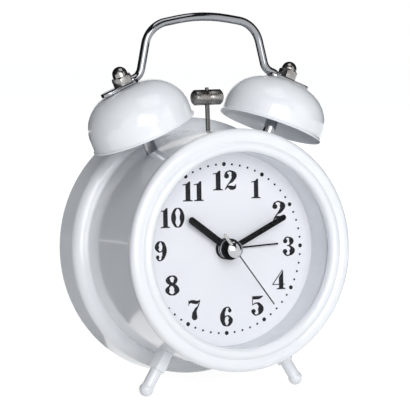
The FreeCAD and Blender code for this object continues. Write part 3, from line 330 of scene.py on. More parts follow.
def nickelledSteel():
    # barrel-plated nuts: grey, slightly clouded metal
    look = {"colour": "#B9B7B5", "shade": "#8A8785"}
    material, tree, shader = newMaterial("nickelledSteel", look["colour"], {"Metallic": 1.0})
    tone(tree, shader, noise(tree, 1.4, 4.0), look["colour"], look["shade"])
    gloss(tree, shader, noise(tree, 0.9, 4.0), 0.14, 0.28)
    relief(tree, shader, noise(tree, 0.4, 3.0), 0.004, 0.4)
    return material


def turnedSteel():
    # a bar turned on a lathe and left plain: dark, with the tool's rings round it
    look = {"colour": "#B8B5B2", "shade": "#6E6B69", "pitch": 0.45}
    material, tree, shader = newMaterial("turnedSteel", look["colour"], {"Metallic": 1.0})
    coords = addNode(tree, "ShaderNodeTexCoord")
    rings = addNode(tree, "ShaderNodeTexWave",
                    {"wave_type": "BANDS", "bands_direction": "X", "Scale": waveBand / (look["pitch"] * mm),
                     "Distortion": 0.6, "Detail": 2.0}, {"Vector": coords.outputs["Object"]})
    tone(tree, shader, noise(tree, 0.8, 5.0, (2.5, 1, 1)), look["colour"], look["shade"])
    gloss(tree, shader, noise(tree, 0.6, 4.0), 0.2, 0.34)
    relief(tree, shader, rings.outputs["Fac"], 0.012, 0.5)
    return material


def platedSteel():
    # zinc-plated pressings and screws: pale grey with a soft clouded sheen
    look = {"colour": "#A9ABAD", "shade": "#8F9295"}
    material, tree, shader = newMaterial("zincPlatedSteel", look["colour"], {"Metallic": 1.0})
    tone(tree, shader, noise(tree, 2.5, 4.0), look["colour"], look["shade"])
    gloss(tree, shader, noise(tree, 1.2, 4.0), 0.22, 0.38)
    return material


def bluedSteel():
    # a thin stamped hand, darkened and lacquered
    look = {"colour": "#5B5D63", "shade": "#3E4046"}
    material, tree, shader = newMaterial("darkenedSteel", look["colour"], {"Metallic": 1.0})
    tone(tree, shader, noise(tree, 3.0), look["colour"], look["shade"])
    gloss(tree, shader, noise(tree, 1.0, 3.0), 0.16, 0.26)
    return material


def mouldedRubber():
    # black nitrile pads, dull, with a mould's fine grain
    look = {"colour": "#1B1B1C", "shade": "#262627"}
    material, tree, shader = newMaterial("mouldedRubber", look["colour"], {"IOR": 1.5})
    tone(tree, shader, noise(tree, 1.5), look["colour"], look["shade"])
    gloss(tree, shader, noise(tree, 0.8, 3.0), 0.6, 0.75)
    relief(tree, shader, noise(tree, 0.3, 3.0), 0.01, 0.4)
    return material


def mouldedBlack():
    # black ABS from a spark-eroded tool: even fine texture, low sheen
    look = {"colour": "#1C1D1F", "shade": "#242527"}
    material, tree, shader = newMaterial("mouldedBlackPlastic", look["colour"], {"IOR": 1.53})
    tone(tree, shader, noise(tree, 3.0), look["colour"], look["shade"])
    gloss(tree, shader, noise(tree, 0.8, 4.0), 0.38, 0.5)
    relief(tree, shader, noise(tree, 0.3, 2.0), 0.012, 0.35)
    return material


def mouldedAcetal():
    # natural acetal gears: milky, waxy, a little light gets in
    look = {"colour": "#E9E4D8", "shade": "#DDD7C8"}
    material, tree, shader = newMaterial("mouldedAcetal", look["colour"], {"IOR": 1.48})
    tone(tree, shader, noise(tree, 2.0), look["colour"], look["shade"])
    gloss(tree, shader, noise(tree, 0.8, 3.0), 0.3, 0.42)
    return material


def turnedBrass():
    # bar brass straight from the lathe
    look = {"colour": "#D9B567", "shade": "#C39B4C"}
    material, tree, shader = newMaterial("turnedBrass", look["colour"], {"Metallic": 1.0})
    tone(tree, shader, noise(tree, 1.2, 3.0), look["colour"], look["shade"])
    gloss(tree, shader, noise(tree, 0.6, 4.0, (1, 6, 1)), 0.18, 0.3)
    return material


def bondedMagnet():
    # ferrite powder in plastic: charcoal and slightly sparkling
    look = {"colour": "#2B2A2B", "shade": "#3C3A3A"}
    material, tree, shader = newMaterial("bondedMagnet", look["colour"], {"IOR": 1.55})
    tone(tree, shader, noise(tree, 0.3, 5.0), look["colour"], look["shade"])
    gloss(tree, shader, noise(tree, 0.5, 3.0), 0.45, 0.6)
    return material


def copperWinding():
    # enamelled copper wire laid side by side along the coil, which runs along x, with painted shade in the groove
    # between each two turns
    look = {"colour": "#B8703F", "shade": "#8E4F2A", "wire": 0.22}
    material, tree, shader = newMaterial("copperWinding", look["colour"], {"Metallic": 0.7})
    coords = addNode(tree, "ShaderNodeTexCoord")
    turns = addNode(tree, "ShaderNodeTexWave",
                    {"wave_type": "BANDS", "bands_direction": "X", "Scale": waveBand / (look["wire"] * mm),
                     "Distortion": 0.3}, {"Vector": coords.outputs["Object"]})
    # painted shade: the copper is coloured darker in the groove between each two turns and keeps its own colour on
    # their crowns
    tone(tree, shader, turns.outputs["Fac"], look["shade"], look["colour"])
    gloss(tree, shader, noise(tree, 1.0), 0.3, 0.4)
    relief(tree, shader, turns.outputs["Fac"], 0.06, 0.8)
    return material


def greenLaminate():
    # solder-masked glass laminate with the weave just showing
    look = {"colour": "#1F5A33", "shade": "#2A6B3F"}
    material, tree, shader = newMaterial("greenLaminate", look["colour"], {"IOR": 1.5})
    tone(tree, shader, noise(tree, 0.7, 2.0, (1, 1, 3)), look["colour"], look["shade"])
    gloss(tree, shader, noise(tree, 1.0, 3.0), 0.25, 0.35)
    return material


def cellSleeve():
    # shrunk printed sleeve of a dry cell, plain dark with a glossy film
    look = {"colour": "#23262B", "shade": "#2E3238"}
    material, tree, shader = newMaterial("cellSleeve", look["colour"], {"IOR": 1.55})
    tone(tree, shader, noise(tree, 5.0), look["colour"], look["shade"])
    gloss(tree, shader, noise(tree, 2.0, 3.0), 0.18, 0.28)
    relief(tree, shader, noise(tree, 3.0, 1.0), 0.01, 0.3)
    return material


def nickelledSpring():
    # spring steel, bright nickel
    look = {"colour": "#C4BFB4", "shade": "#ACA79C"}
    material, tree, shader = newMaterial("nickelledSpring", look["colour"], {"Metallic": 1.0})
    tone(tree, shader, noise(tree, 1.5, 3.0), look["colour"], look["shade"])
    gloss(tree, shader, noise(tree, 0.8, 3.0), 0.15, 0.25)
    return material


def burnishedSteel():
    # steel burnished bright, as on a counterweight
    look = {"colour": "#D6D6D4", "shade": "#BEBEBC"}
    material, tree, shader = newMaterial("burnishedSteel", look["colour"], {"Metallic": 1.0})
    tone(tree, shader, noise(tree, 1.0, 3.0), look["colour"], look["shade"])
    gloss(tree, shader, noise(tree, 0.5, 4.0), 0.16, 0.26)
    return material


def springSteel():
    # a bare spring-steel arm, dark grey with a dull sheen
    look = {"colour": "#6F6E6D", "shade": "#555453"}
    material, tree, shader = newMaterial("springSteel", look["colour"], {"Metallic": 1.0})
    tone(tree, shader, noise(tree, 1.0, 3.0), look["colour"], look["shade"])
    gloss(tree, shader, noise(tree, 0.6, 4.0, (1, 1, 3)), 0.26, 0.38)
    return material


finishes = {
    "white_enamel": stovedEnamel(),
    "clear_glass": windowGlass(),
    "white_plastic": mouldedWhite(),
    "dial_face": dialPaint(),
    "black_plastic": mouldedBlack(),
    "polished_chrome": polishedChrome(),
    "hammer_steel": turnedSteel(),
    "plated_steel": platedSteel(),
    "pad_rubber": mouldedRubber(),
    "black_enamel": blackHandPaint(),
    "dark_blued_steel": bluedSteel(),
    "acetal": mouldedAcetal(),
    "brass": turnedBrass(),
    "magnet": bondedMagnet(),
    "copper_wire": copperWinding(),
    "circuit_laminate": greenLaminate(),
    "cell_jacket": cellSleeve(),
    "nickel": nickelledSpring(),
}
nutFinish = nickelledSteel()
brightSteel = burnishedSteel()
capChrome = polishedChrome("capChrome", "#D4D6D9", "#C4C6CA")
greySteel = springSteel()
inkFinish = printedInk()


def dressFrame():
    for name, node in frame["nodes"].items():
        node.data.materials.clear()
        node.data.materials.append(finishes[slotOf[name]])
    frame["nodes"]["acorn_nuts"].data.materials[0] = nutFinish
    frame["nodes"]["second_hand_cap"].data.materials[0] = capChrome


dressFrame()
print("materials:", len(finishes), "finishes on", len(frame["nodes"]), "nodes")


# Bells

bellSizes = {"rim": 20.3, "wall": 19.8, "domeStart": 5.1, "height": 18.5, "crown": 4.6,
             "thickness": 0.8, "hole": 2.15, "curveSteps": 36, "wallFoot": 1.6, "lipTop": 1.1,
             "lipProud": 0.05}


def bellOutline():
    s = bellSizes
    t = s["thickness"]
    outside = []
    inside = []
    for i in range(s["curveSteps"] + 1):
        a = math.radians(90 * i / s["curveSteps"])
        wide = s["wall"] - s["crown"]
        tall = s["height"] - s["domeStart"]
        outside.append((s["crown"] + wide * math.cos(a), s["domeStart"] + tall * math.sin(a)))
        inside.append((s["crown"] + (wide - t) * math.cos(a), s["domeStart"] + (tall - t) * math.sin(a)))
    # the rim is rolled: a round bead a little wider than the wall
    bead = t / 2
    roll = arcPoints((s["rim"] - bead, bead), bead, 180, 430, 14)
    wallFoot = [(s["wall"] + s["lipProud"], s["lipTop"]), (s["wall"], s["wallFoot"])]
    crownTop = [(s["hole"], s["height"]), (s["hole"], s["height"] - t)]
    return roll + wallFoot + outside + crownTop + inside[::-1] + [(s["wall"] - t, s["wallFoot"])]


def makeBell(side, name, node):
    bell = turnedProfile(name, bellOutline(), 160)
    settle(bell, bellPlace(side), name)
    finishPiece(bell, "root", "white_enamel", 50)
    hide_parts(node)


makeBell(-1, "leftBellShell", "left_bell")
makeBell(1, "rightBellShell", "right_bell")
print("bells turned")


# Dial print

numeralSizes = {"height": 7.4, "proud": 0.03, "dotRing": 31.8, "hourDot": 0.8, "minuteDot": 0.43,
                "thin": 0.05, "bolder": 1.17, "hairline": 1.1, "inkSpread": 0.13, "pairGap": 0.07}

# Each numeral is drawn one unit tall about its own middle.
# A sweep is a pen stroke of (x, y, half width); a bar is the corners of a flat shape.
numeralShapes = {
    "0": {"loops": [[(0, 0.475, 0.026), (0.17, 0.36, 0.062), (0.235, 0, 0.118), (0.17, -0.36, 0.062),
                     (0, -0.475, 0.026), (-0.17, -0.36, 0.062), (-0.235, 0, 0.118), (-0.17, 0.36, 0.062)]]},
    "1": {"bars": [[(-0.25, -0.5), (0.26, -0.5), (0.26, -0.45), (0.145, -0.42), (0.145, 0.5), (0.06, 0.5),
                    (-0.03, 0.4), (-0.25, 0.36), (-0.25, 0.31), (-0.105, 0.325), (-0.105, -0.42),
                    (-0.25, -0.45)]]},
    "2": {"sweeps": [[(-0.19, 0.22, 0.112), (-0.215, 0.36, 0.05), (-0.1, 0.455, 0.03), (0.04, 0.462, 0.038),
                      (0.2, 0.26, 0.125), (0.12, 0.02, 0.08), (-0.1, -0.2, 0.03), (-0.25, -0.42, 0.022)],
                     [(-0.27, -0.47, 0.02), (-0.14, -0.33, 0.05), (0.05, -0.385, 0.095), (0.2, -0.38, 0.075),
                      (0.29, -0.22, 0.018)]]},
    "3": {"sweeps": [[(-0.17, 0.27, 0.1), (-0.17, 0.4, 0.04), (-0.02, 0.468, 0.03), (0.15, 0.27, 0.108),
                      (0.04, 0.05, 0.035), (-0.08, 0.035, 0.022)],
                     [(-0.02, 0.03, 0.022), (0.1, -0.02, 0.05), (0.19, -0.23, 0.128), (0, -0.47, 0.03),
                      (-0.18, -0.4, 0.042), (-0.19, -0.26, 0.105)]]},
    "4": {"bars": [[(0.01, -0.43), (0.01, 0.12), (0.27, 0.5), (0.27, -0.43)],
                   [(-0.12, -0.5), (0.39, -0.5), (0.39, -0.445), (0.27, -0.42), (0.01, -0.42),
                    (-0.12, -0.445)],
                   [(-0.38, -0.22), (-0.38, -0.265), (0.36, -0.265), (0.36, -0.22)],
                   [(-0.38, -0.22), (-0.31, -0.22), (0.25, 0.5), (0.19, 0.5)]]},
    "5": {"bars": [[(-0.25, 0.5), (-0.22, 0.33), (0.1, 0.33), (0.24, 0.4), (0.33, 0.5)],
                   [(-0.25, 0.5), (-0.25, 0.04), (-0.21, 0.04), (-0.21, 0.5)]],
          "sweeps": [[(-0.23, 0.05, 0.022), (-0.06, 0.14, 0.03), (0.1, 0.08, 0.065), (0.19, -0.18, 0.128),
                      (0.0, -0.47, 0.03), (-0.18, -0.4, 0.042), (-0.19, -0.27, 0.1)]]},
    "6": {"sweeps": [[(0.19, 0.3, 0.088), (0.17, 0.42, 0.04), (0.03, 0.472, 0.028), (-0.15, 0.3, 0.085),
                      (-0.225, -0.02, 0.128), (-0.17, -0.34, 0.085), (0, -0.472, 0.03), (0.17, -0.38, 0.07),
                      (0.225, -0.2, 0.118), (0.14, 0, 0.05), (0.02, 0.035, 0.028), (-0.12, -0.05, 0.03)]]},
    "7": {"sweeps": [[(-0.3, 0.49, 0.016), (-0.3, 0.24, 0.016)],
                     [(-0.29, 0.33, 0.03), (-0.2, 0.42, 0.06), (-0.04, 0.41, 0.085), (0.12, 0.38, 0.075),
                      (0.26, 0.46, 0.03), (0.3, 0.49, 0.016)],
                     [(0.3, 0.49, 0.016), (0.2, 0.2, 0.03), (0.06, 0.0, 0.065), (0, -0.2, 0.11),
                      (0, -0.37, 0.13)]]},
    "8": {"loops": [[(0, 0.472, 0.03), (0.16, 0.4, 0.055), (0.185, 0.27, 0.08), (0.06, 0.08, 0.06),
                     (-0.07, 0.1, 0.075), (-0.19, 0.26, 0.1), (-0.13, 0.42, 0.05)],
                    [(0, 0.03, 0.05), (0.16, -0.06, 0.085), (0.225, -0.25, 0.115), (0.13, -0.43, 0.055),
                     (0, -0.472, 0.03), (-0.15, -0.41, 0.05), (-0.225, -0.24, 0.095),
                     (-0.13, -0.04, 0.045)]]},
}
numeralPlaces = {   # centre across and up the dial, and width, in millimetres
    "12": (0.3, 25.7, 10.0), "1": (13.2, 22.3, 3.8), "2": (22.9, 13.6, 5.6), "3": (26.9, -0.1, 5.3),
    "4": (22.4, -12.7, 5.6), "5": (13.1, -22.2, 5.3), "6": (0.0, -25.6, 5.4), "7": (-13.2, -22.4, 4.9),
    "8": (-22.1, -12.8, 5.8), "9": (-26.5, 0.1, 4.9), "10": (-21.5, 12.3, 9.8), "11": (-12.9, 21.9, 8.6),
}


def penStroke(points, closed):
    # a Bezier line with a radius at each point, made a mesh and pressed flat
    bpy.ops.curve.primitive_bezier_curve_add()
    curve = bpy.context.object
    curve.data.splines.clear()
    spline = curve.data.splines.new("BEZIER")
    spline.bezier_points.add(len(points) - 1)
    for point, (x, y, half) in zip(spline.bezier_points, points):
        point.co = (x, 0, y)
        point.radius = half * numeralSizes["bolder" if half > numeralSizes["thin"] else "hairline"]
        point.handle_left_type = "AUTO"
        point.handle_right_type = "AUTO"
    spline.use_cyclic_u = closed
    spline.resolution_u = 8
    spline.tilt_interpolation = "EASE"
    spline.radius_interpolation = "EASE"
    curve.data.bevel_depth = 1.0
    curve.data.bevel_resolution = 2
    curve.data.use_fill_caps = True
    bpy.ops.object.convert(target="MESH")
    return bpy.context.object


def endDisc(point):
    x, y, half = point
    if half > numeralSizes["thin"]:
        half *= numeralSizes["bolder"]
    bpy.ops.mesh.primitive_uv_sphere_add(segments=24, ring_count=10, radius=half, location=(x, 0, y))
    bpy.ops.object.transform_apply(location=True)
    return bpy.context.object


barHalf = 0.1   # half the depth of a flat bar, before its own place sets it


def flatBar(corners):
    bpy.ops.mesh.primitive_circle_add(vertices=len(corners), radius=1, fill_type="NGON")
    bar = bpy.context.object
    for vertex, (x, y) in zip(bar.data.vertices, corners):
        vertex.co = (x, -barHalf, y)
    bpy.ops.object.mode_set(mode="EDIT")
    bpy.ops.mesh.select_all(action="SELECT")
    bpy.ops.mesh.extrude_region_move(TRANSFORM_OT_translate={"value": (0, 2 * barHalf, 0)})
    bpy.ops.mesh.select_all(action="SELECT")
    bpy.ops.mesh.normals_make_consistent(inside=False)
    bpy.ops.object.mode_set(mode="OBJECT")
    return bar


def turnHalf(shape):
    return {kind: [[(-p[0], -p[1], *p[2:]) for p in line] for line in lines]
            for kind, lines in shape.items()}


numeralShapes["9"] = turnHalf(numeralShapes["6"])


def makeDigit(digit):
    shape = numeralShapes[digit]
    parts = [flatBar(corners) for corners in shape.get("bars", [])]
    parts += [penStroke(line, True) for line in shape.get("loops", [])]
    for line in shape.get("sweeps", []):
        parts.append(penStroke(line, False))
        parts.append(endDisc(line[0]))
        parts.append(endDisc(line[-1]))
    return joinPieces(parts)


def joinPieces(parts):
    deselectAll()
    for part in parts:
        part.select_set(True)
    bpy.context.view_layer.objects.active = parts[0]
    if len(parts) > 1:
        bpy.ops.object.join()
    return bpy.context.object


def makeNumerals():
    height = numeralSizes["height"]
    master = {digit: makeDigit(digit) for digit in numeralShapes}
    made = []
    for text, (x, z, width) in numeralPlaces.items():
        ownWidth = {digit: master[digit].dimensions.x for digit in text}
        gap = numeralSizes["pairGap"] if len(text) > 1 else 0.0
        total = sum(ownWidth[digit] for digit in text) + gap
        scale = width / total
        left = x - width / 2
        for digit in text:
            copy = master[digit].copy()
            copy.data = master[digit].data.copy()
            bpy.context.scene.collection.objects.link(copy)
            middle = left + ownWidth[digit] * scale / 2
            low = min(corner[0] for corner in copy.bound_box)
            offset = (low + ownWidth[digit] / 2) * scale
            proud = numeralSizes["proud"] / numeralSizes["inkSpread"]
            copy.matrix_world = (Matrix.Translation(((middle - offset) * mm, 0, z * mm))
                                 @ Matrix.Diagonal((scale * mm, proud * mm, height * mm, 1)))
            pick(copy)
            bpy.ops.object.transform_apply(location=True, rotation=True, scale=True)
            made.append(copy)
            left += (ownWidth[digit] + gap) * scale
    for piece in master.values():
        bpy.data.objects.remove(piece)
    return made


def makeDots():
    dots = []
    for i in range(60):
        a = math.radians(6 * i)
        radius = numeralSizes["hourDot"] if i % 5 == 0 else numeralSizes["minuteDot"]
        ring = numeralSizes["dotRing"]
        spot = (ring * math.sin(a) * mm, 0, ring * math.cos(a) * mm)
        bpy.ops.mesh.primitive_uv_sphere_add(segments=20, ring_count=8, radius=radius * mm, location=spot)
        dot = bpy.context.object
        dot.scale = (1, numeralSizes["proud"] / radius, 1)
        bpy.ops.object.transform_apply(location=True, rotation=True, scale=True)
        dots.append(dot)
    return dots


def makeDialPrint():
    dialFace = Matrix.Translation((0, clockSizes["dialDepth"] * mm, 0))
    for name, parts in (("dialNumerals", makeNumerals()), ("dialDots", makeDots())):
        piece = joinPieces(parts)
        settle(piece, clockPlace() @ dialFace, name)
        finishPiece(piece, "root", "dial_face", 60)
        piece.data.materials[0] = inkFinish


makeDialPrint()
print("dial printed")


# Pieces whose edges are broken, as moulding, pressing, turning or paint leaves them

softEdges = {   # node: piece name, width of the rounded edge in millimetres, body
    "front_bezel": ("bezelPressing", 0.22, "root"),
    "case_drum": ("drumShell", 0.14, "root"),
    "reflector_ring": ("whiteRingMoulding", 0.2, "root"),
    "hour_hand": ("hourHandBar", 0.13, "hours"),
    "minute_hand": ("minuteHandBar", 0.13, "minutes"),
    "alarm_hand": ("alarmHandNeedle", 0.08, "alarm_time"),
    "acorn_nuts": ("acornNutPair", 0.2, "root"),
    "left_bell_post": ("leftPostTurned", 0.15, "root"),
    "right_bell_post": ("rightPostTurned", 0.15, "root"),
    "hammer_head": ("hammerBarrel", 0.16, "hammer"),
    "hammer_lever": ("hammerArm", 0.12, "hammer"),
    "left_foot": ("leftFootTurned", 0.3, "root"),
    "right_foot": ("rightFootTurned", 0.3, "root"),
    "rear_cover": ("rearCoverMoulding", 0.25, "root"),
    "battery_door": ("batteryDoorMoulding", 0.25, "battery_lid"),
    "time_set_knob": ("timeKnobMoulding", 0.15, "time_set"),
    "alarm_set_knob": ("alarmKnobMoulding", 0.15, "alarm_set"),
    "alarm_switch_slider": ("sliderMoulding", 0.15, "alarm_switch"),
    "tie_screws": ("tieScrewHeads", 0.12, "root"),
}


def softenPieces():
    for node, (name, width, body) in softEdges.items():
        piece = softened(node, name, width)
        finishPiece(piece, body, slotOf[node], 40)
        if node in ("case_drum", "rear_cover"):
            applyModifier(piece, "WEIGHTED_NORMAL", mode="FACE_AREA", weight=50, keep_sharp=True)
        if node == "acorn_nuts":
            piece.data.materials[0] = nutFinish
        if node == "hammer_lever":
            piece.data.materials[0] = greySteel
        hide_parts(node)


softenPieces()
print("edges broken on", len(softEdges), "pieces")


# The second hand with its bright tail, and the collets under the other hands

handStack = {
    "secondTurn": 143.0,      # degrees clockwise from twelve
    "tailStart": 2.4,
    "tail": {"start": 2.0, "even": 3.4, "end": 7.5, "thick": 0.66, "thin": 0.48, "depth": 6.73},
    "colletEdge": 0.12,
    "collets": {   # name: body, material, bore, radius, front and back, in the clock's depth
        "hourHandCollet": ("hours", "white_plastic", 2.12, 3.8, 10.95, 12.02),
        "alarmHandCollet": ("alarm_time", "white_plastic", 3.02, 3.75, 12.55, 13.62),
    },
}


def makeSecondHand():
    piece = softened("second_hand", "secondHandNeedle", 0.06)
    finishPiece(piece, "seconds", "dark_blued_steel", 40)
    piece.data.materials.append(brightSteel)
    a = math.radians(handStack["secondTurn"])
    along = Vector((math.sin(a), 0, math.cos(a)))
    toClock = clockPlace().inverted()
    for face in piece.data.polygons:
        if (toClock @ face.center).dot(along) < -handStack["tailStart"] * mm:
            face.material_index = 1
    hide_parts("second_hand")


def makeTail():
    # the second hand's counterweight, a bright tapered rod
    size = handStack["tail"]
    outline = ([(0, size["start"]), (size["thick"], size["start"]), (size["thick"], size["even"])]
               + arcPoints((0, size["end"] - size["thin"]), size["thin"], 0, 90, 6))
    rod = turnedProfile("secondHandTail", outline, 32)
    turn = Matrix.Rotation(math.radians(handStack["secondTurn"] + 180), 4, "Y")
    settle(rod, clockPlace() @ Matrix.Translation((0, size["depth"] * mm, 0)) @ turn, "secondHandTail")
    finishPiece(rod, "seconds", "polished_chrome", 40)
    rod.data.materials[0] = brightSteel


def makeCollets():
    edge = handStack["colletEdge"]
    for name, (body, slot, bore, radius, front, back) in handStack["collets"].items():
        outline = [(bore, -back), (radius - edge, -back), (radius, -back + edge), (radius, -front - edge),
                   (radius - edge, -front), (bore, -front)]
        collet = turnedProfile(name, outline, 64)
        settle(collet, clockPlace() @ Matrix.Rotation(math.radians(90), 4, "X"), name)
        finishPiece(collet, body, slot, 50)


makeSecondHand()
makeTail()
makeCollets()
print("hand stack finished")


# Carrying handle

handleSizes = {
    "rod": 1.6, "lift": 0.05, "bellHeight": 18.5,
    "shoulders": {-1: 23.3, 1: 21.2}, "shoulderHeight": 40.2,   # the photographed handle sits a little left
    "crown": (-1.0, 44.2), "legLean": 12.5,
    "footBend": 5.0, "shoulderBend": 10.5, "crownBend": 60.0, "runOut": 0.5,
    "tabThick": 1.5, "tabWide": 6.0, "tabReach": 10.0, "tabEdge": 0.35, "flattened": 3.4,
}


def legCorners(side):
    # shoulder, foot and end of one leg's centre line, and how far the end is from the nut
    size = handleSizes
    around = math.radians(clockSizes["bellDirection"])
    tilt = math.radians(clockSizes["bellTilt"])
    lean = math.radians(size["legLean"])
    reach = clockSizes["drumRadius"] + clockSizes["bellStand"]
    height = size["bellHeight"] + size["rod"] + size["lift"]
    tab = Vector((reach * math.sin(around) + height * math.sin(tilt),
                  reach * math.cos(around) + height * math.cos(tilt)))
    shoulder = Vector((size["shoulders"][side], clockSizes["drumRadius"] + size["shoulderHeight"]))
    gap = shoulder - tab
    down = ((gap.x * math.sin(tilt) + gap.y * math.cos(tilt))
            / (math.cos(lean) * math.cos(tilt) - math.sin(lean) * math.sin(tilt)))
    foot = shoulder + Vector((math.sin(lean), -math.cos(lean))) * down
    along = Vector((math.cos(tilt), -math.sin(tilt)))
    halfTurn = math.atan2(math.cos(tilt), math.sin(tilt)) - lean
    end = foot + along * (size["footBend"] * math.tan(halfTurn / 2) + size["runOut"])
    inner = (end - tab).dot(along)
    return [Vector((side * p.x, p.y)) for p in (shoulder, foot, end)], inner


def roundedLine(corners, bends):
    points = [corners[0]]
    for before, corner, after, bend in zip(corners, corners[1:], corners[2:], bends):
        a = (before - corner).normalized()
        b = (after - corner).normalized()
        half = a.angle(b) / 2
        centre = corner + (a + b).normalized() * (bend / math.sin(half))
        start = (corner + a * (bend / math.tan(half)) - centre).normalized()
        end = (corner + b * (bend / math.tan(half)) - centre).normalized()
        steps = max(6, int(math.degrees(math.pi - 2 * half) / 4))
        points += [centre + start.slerp(end, i / steps) * bend for i in range(steps + 1)]
    return points + [corners[-1]]


def makeRod(points, radius):
    curve = drawLine(points)[0]
    curve.data.bevel_depth = radius * mm
    curve.data.bevel_resolution = 8
    curve.data.use_fill_caps = True
    bpy.ops.object.convert(target="MESH")
    return settle(bpy.context.object, crownPlace(), "handleRod")


def makeTab(side, inner):
    # the pressed end under the nut, and the rod's swell where it goes flat
    size = handleSizes
    half = size["tabWide"] / 2
    tip = arcPoints((size["tabReach"] - half, 0), half, -90, 90, 16)
    root = arcPoints((inner + half - size["rod"], 0), half, 90, 270, 16)
    plate = flatBar([(side * x, y) for x, y in tip + root])
    middle = (size["bellHeight"] + size["tabThick"] / 2) * mm
    lay = (bellPlace(side) @ Matrix.Translation((0, 0, middle)) @ Matrix.Rotation(math.radians(90), 4, "X")
           @ Matrix.Diagonal((mm, size["tabThick"] / (2 * barHalf) * mm, mm, 1)))
    settle(plate, lay, "handleTab")
    breakEdges(plate, size["tabEdge"], 3, 40)
    bpy.ops.mesh.primitive_uv_sphere_add(segments=36, ring_count=18, radius=size["rod"] * mm)
    swell = bpy.context.object
    place = Vector((side * inner, 0, size["bellHeight"] + size["rod"] + size["lift"])) * mm
    settle(swell, bellPlace(side) @ Matrix.Translation(place)
           @ Matrix.Diagonal((size["flattened"] / size["rod"], 1.0, 1.0, 1)), "handleSwell")
    return [plate, swell]


def makeHandle():
    leftLine, leftInner = legCorners(-1)
    rightLine, rightInner = legCorners(1)
    size = handleSizes
    crown = Vector((size["crown"][0], clockSizes["drumRadius"] + size["crown"][1]))
    shared = [size["footBend"], size["shoulderBend"]]
    bends = shared + [size["crownBend"]] + shared[::-1]
    points = roundedLine(leftLine[::-1] + [crown] + rightLine, bends)
    parts = [makeRod(points, size["rod"])] + makeTab(-1, leftInner) + makeTab(1, rightInner)
    handle = joinPieces(parts)
    handle.name = "carryingHandle"
    finishPiece(handle, "root", "polished_chrome", 40)
    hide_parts("handle")


makeHandle()
print("handle bent")


# Marks moulded into the back

rearMarks = {
    "coverBack": 56.0, "proud": 0.35,
    "knobRings": ((0.0, 10.8, 7.25, 8.0), (-11.2, 0.0, 5.75, 6.45)),   # centre, inner and outer radius
    "arrows": ((0.0, 10.8, 9.4, 20, 118), (-11.2, 0.0, 8.0, 150, 262)),   # centre, radius, from and to
    "ringRound": 0.15, "ringSunk": 0.2,
    "arrowWidth": 0.8, "arrowHead": 1.3, "headLength": 2.86, "arrowEdge": 0.1, "arcSteps": 16,
    "doorRibs": 6, "ribPitch": 1.125, "ribLength": 13.0, "ribWidth": 0.525, "ribTop": -26.0, "ribEdge": 0.18,
}


def arrowCorners(x, z, radius, start, end):
    half = rearMarks["arrowWidth"] / 2
    head = rearMarks["arrowHead"]
    steps = rearMarks["arcSteps"]
    span = math.degrees(rearMarks["headLength"] / radius)
    outer = arcPoints((x, z), radius + half, start, end - span, steps)
    inner = arcPoints((x, z), radius - half, end - span, start, steps)
    wide = arcPoints((x, z), radius + head, end - span, end, 1)[0]
    tip = arcPoints((x, z), radius, end, end + 1, 1)[0]
    narrow = arcPoints((x, z), radius - head, end - span, end, 1)[0]
    return outer + [wide, tip, narrow] + inner


def markPlace():
    # half of a mark's depth stands proud of the cover, and half is sunk in it
    return (clockPlace() @ Matrix.Translation((0, rearMarks["coverBack"] * mm, 0))
            @ Matrix.Diagonal((mm, rearMarks["proud"] / barHalf * mm, mm, 1)))


def makeRearMarks():
    marks = [flatBar(arrowCorners(*arrow)) for arrow in rearMarks["arrows"]]
    arrows = settle(joinPieces(marks), markPlace(), "knobArrows")
    breakEdges(arrows, rearMarks["arrowEdge"], 2, 40)
    finishPiece(arrows, "root", "white_plastic", 40)
    rings = []
    low = rearMarks["ringSunk"]
    edge = rearMarks["ringRound"]
    top = rearMarks["proud"] - edge
    turn = Matrix.Rotation(math.radians(-90), 4, "X")
    for x, z, inner, outer in rearMarks["knobRings"]:
        outline = ([(inner, -low)] + arcPoints((inner + edge, top), edge, 180, 90, 4)
                   + arcPoints((outer - edge, top), edge, 90, 0, 4) + [(outer, -low)])
        ring = turnedProfile("knobRing", outline, 64)
        rings.append(settle(ring, Matrix.Translation((x * mm, 0, z * mm)) @ turn, "knobRing"))
    ringPair = joinPieces(rings)
    settle(ringPair, clockPlace() @ Matrix.Translation((0, rearMarks["coverBack"] * mm, 0)), "knobRings")
    finishPiece(ringPair, "root", "white_plastic", 40)


def makeDoorRibs():
    ribs = []
    half = rearMarks["ribLength"] / 2
    for i in range(rearMarks["doorRibs"]):
        top = rearMarks["ribTop"] - i * rearMarks["ribPitch"]
        low = top - rearMarks["ribWidth"]
        ribs.append(flatBar([(-half, low), (half, low), (half, top), (-half, top)]))
    piece = settle(joinPieces(ribs), markPlace(), "doorGripRibs")
    breakEdges(piece, rearMarks["ribEdge"], 3, 40)
    finishPiece(piece, "battery_lid", "white_plastic", 40)


makeRearMarks()
makeDoorRibs()
print("back marked")


# Stage, light and camera

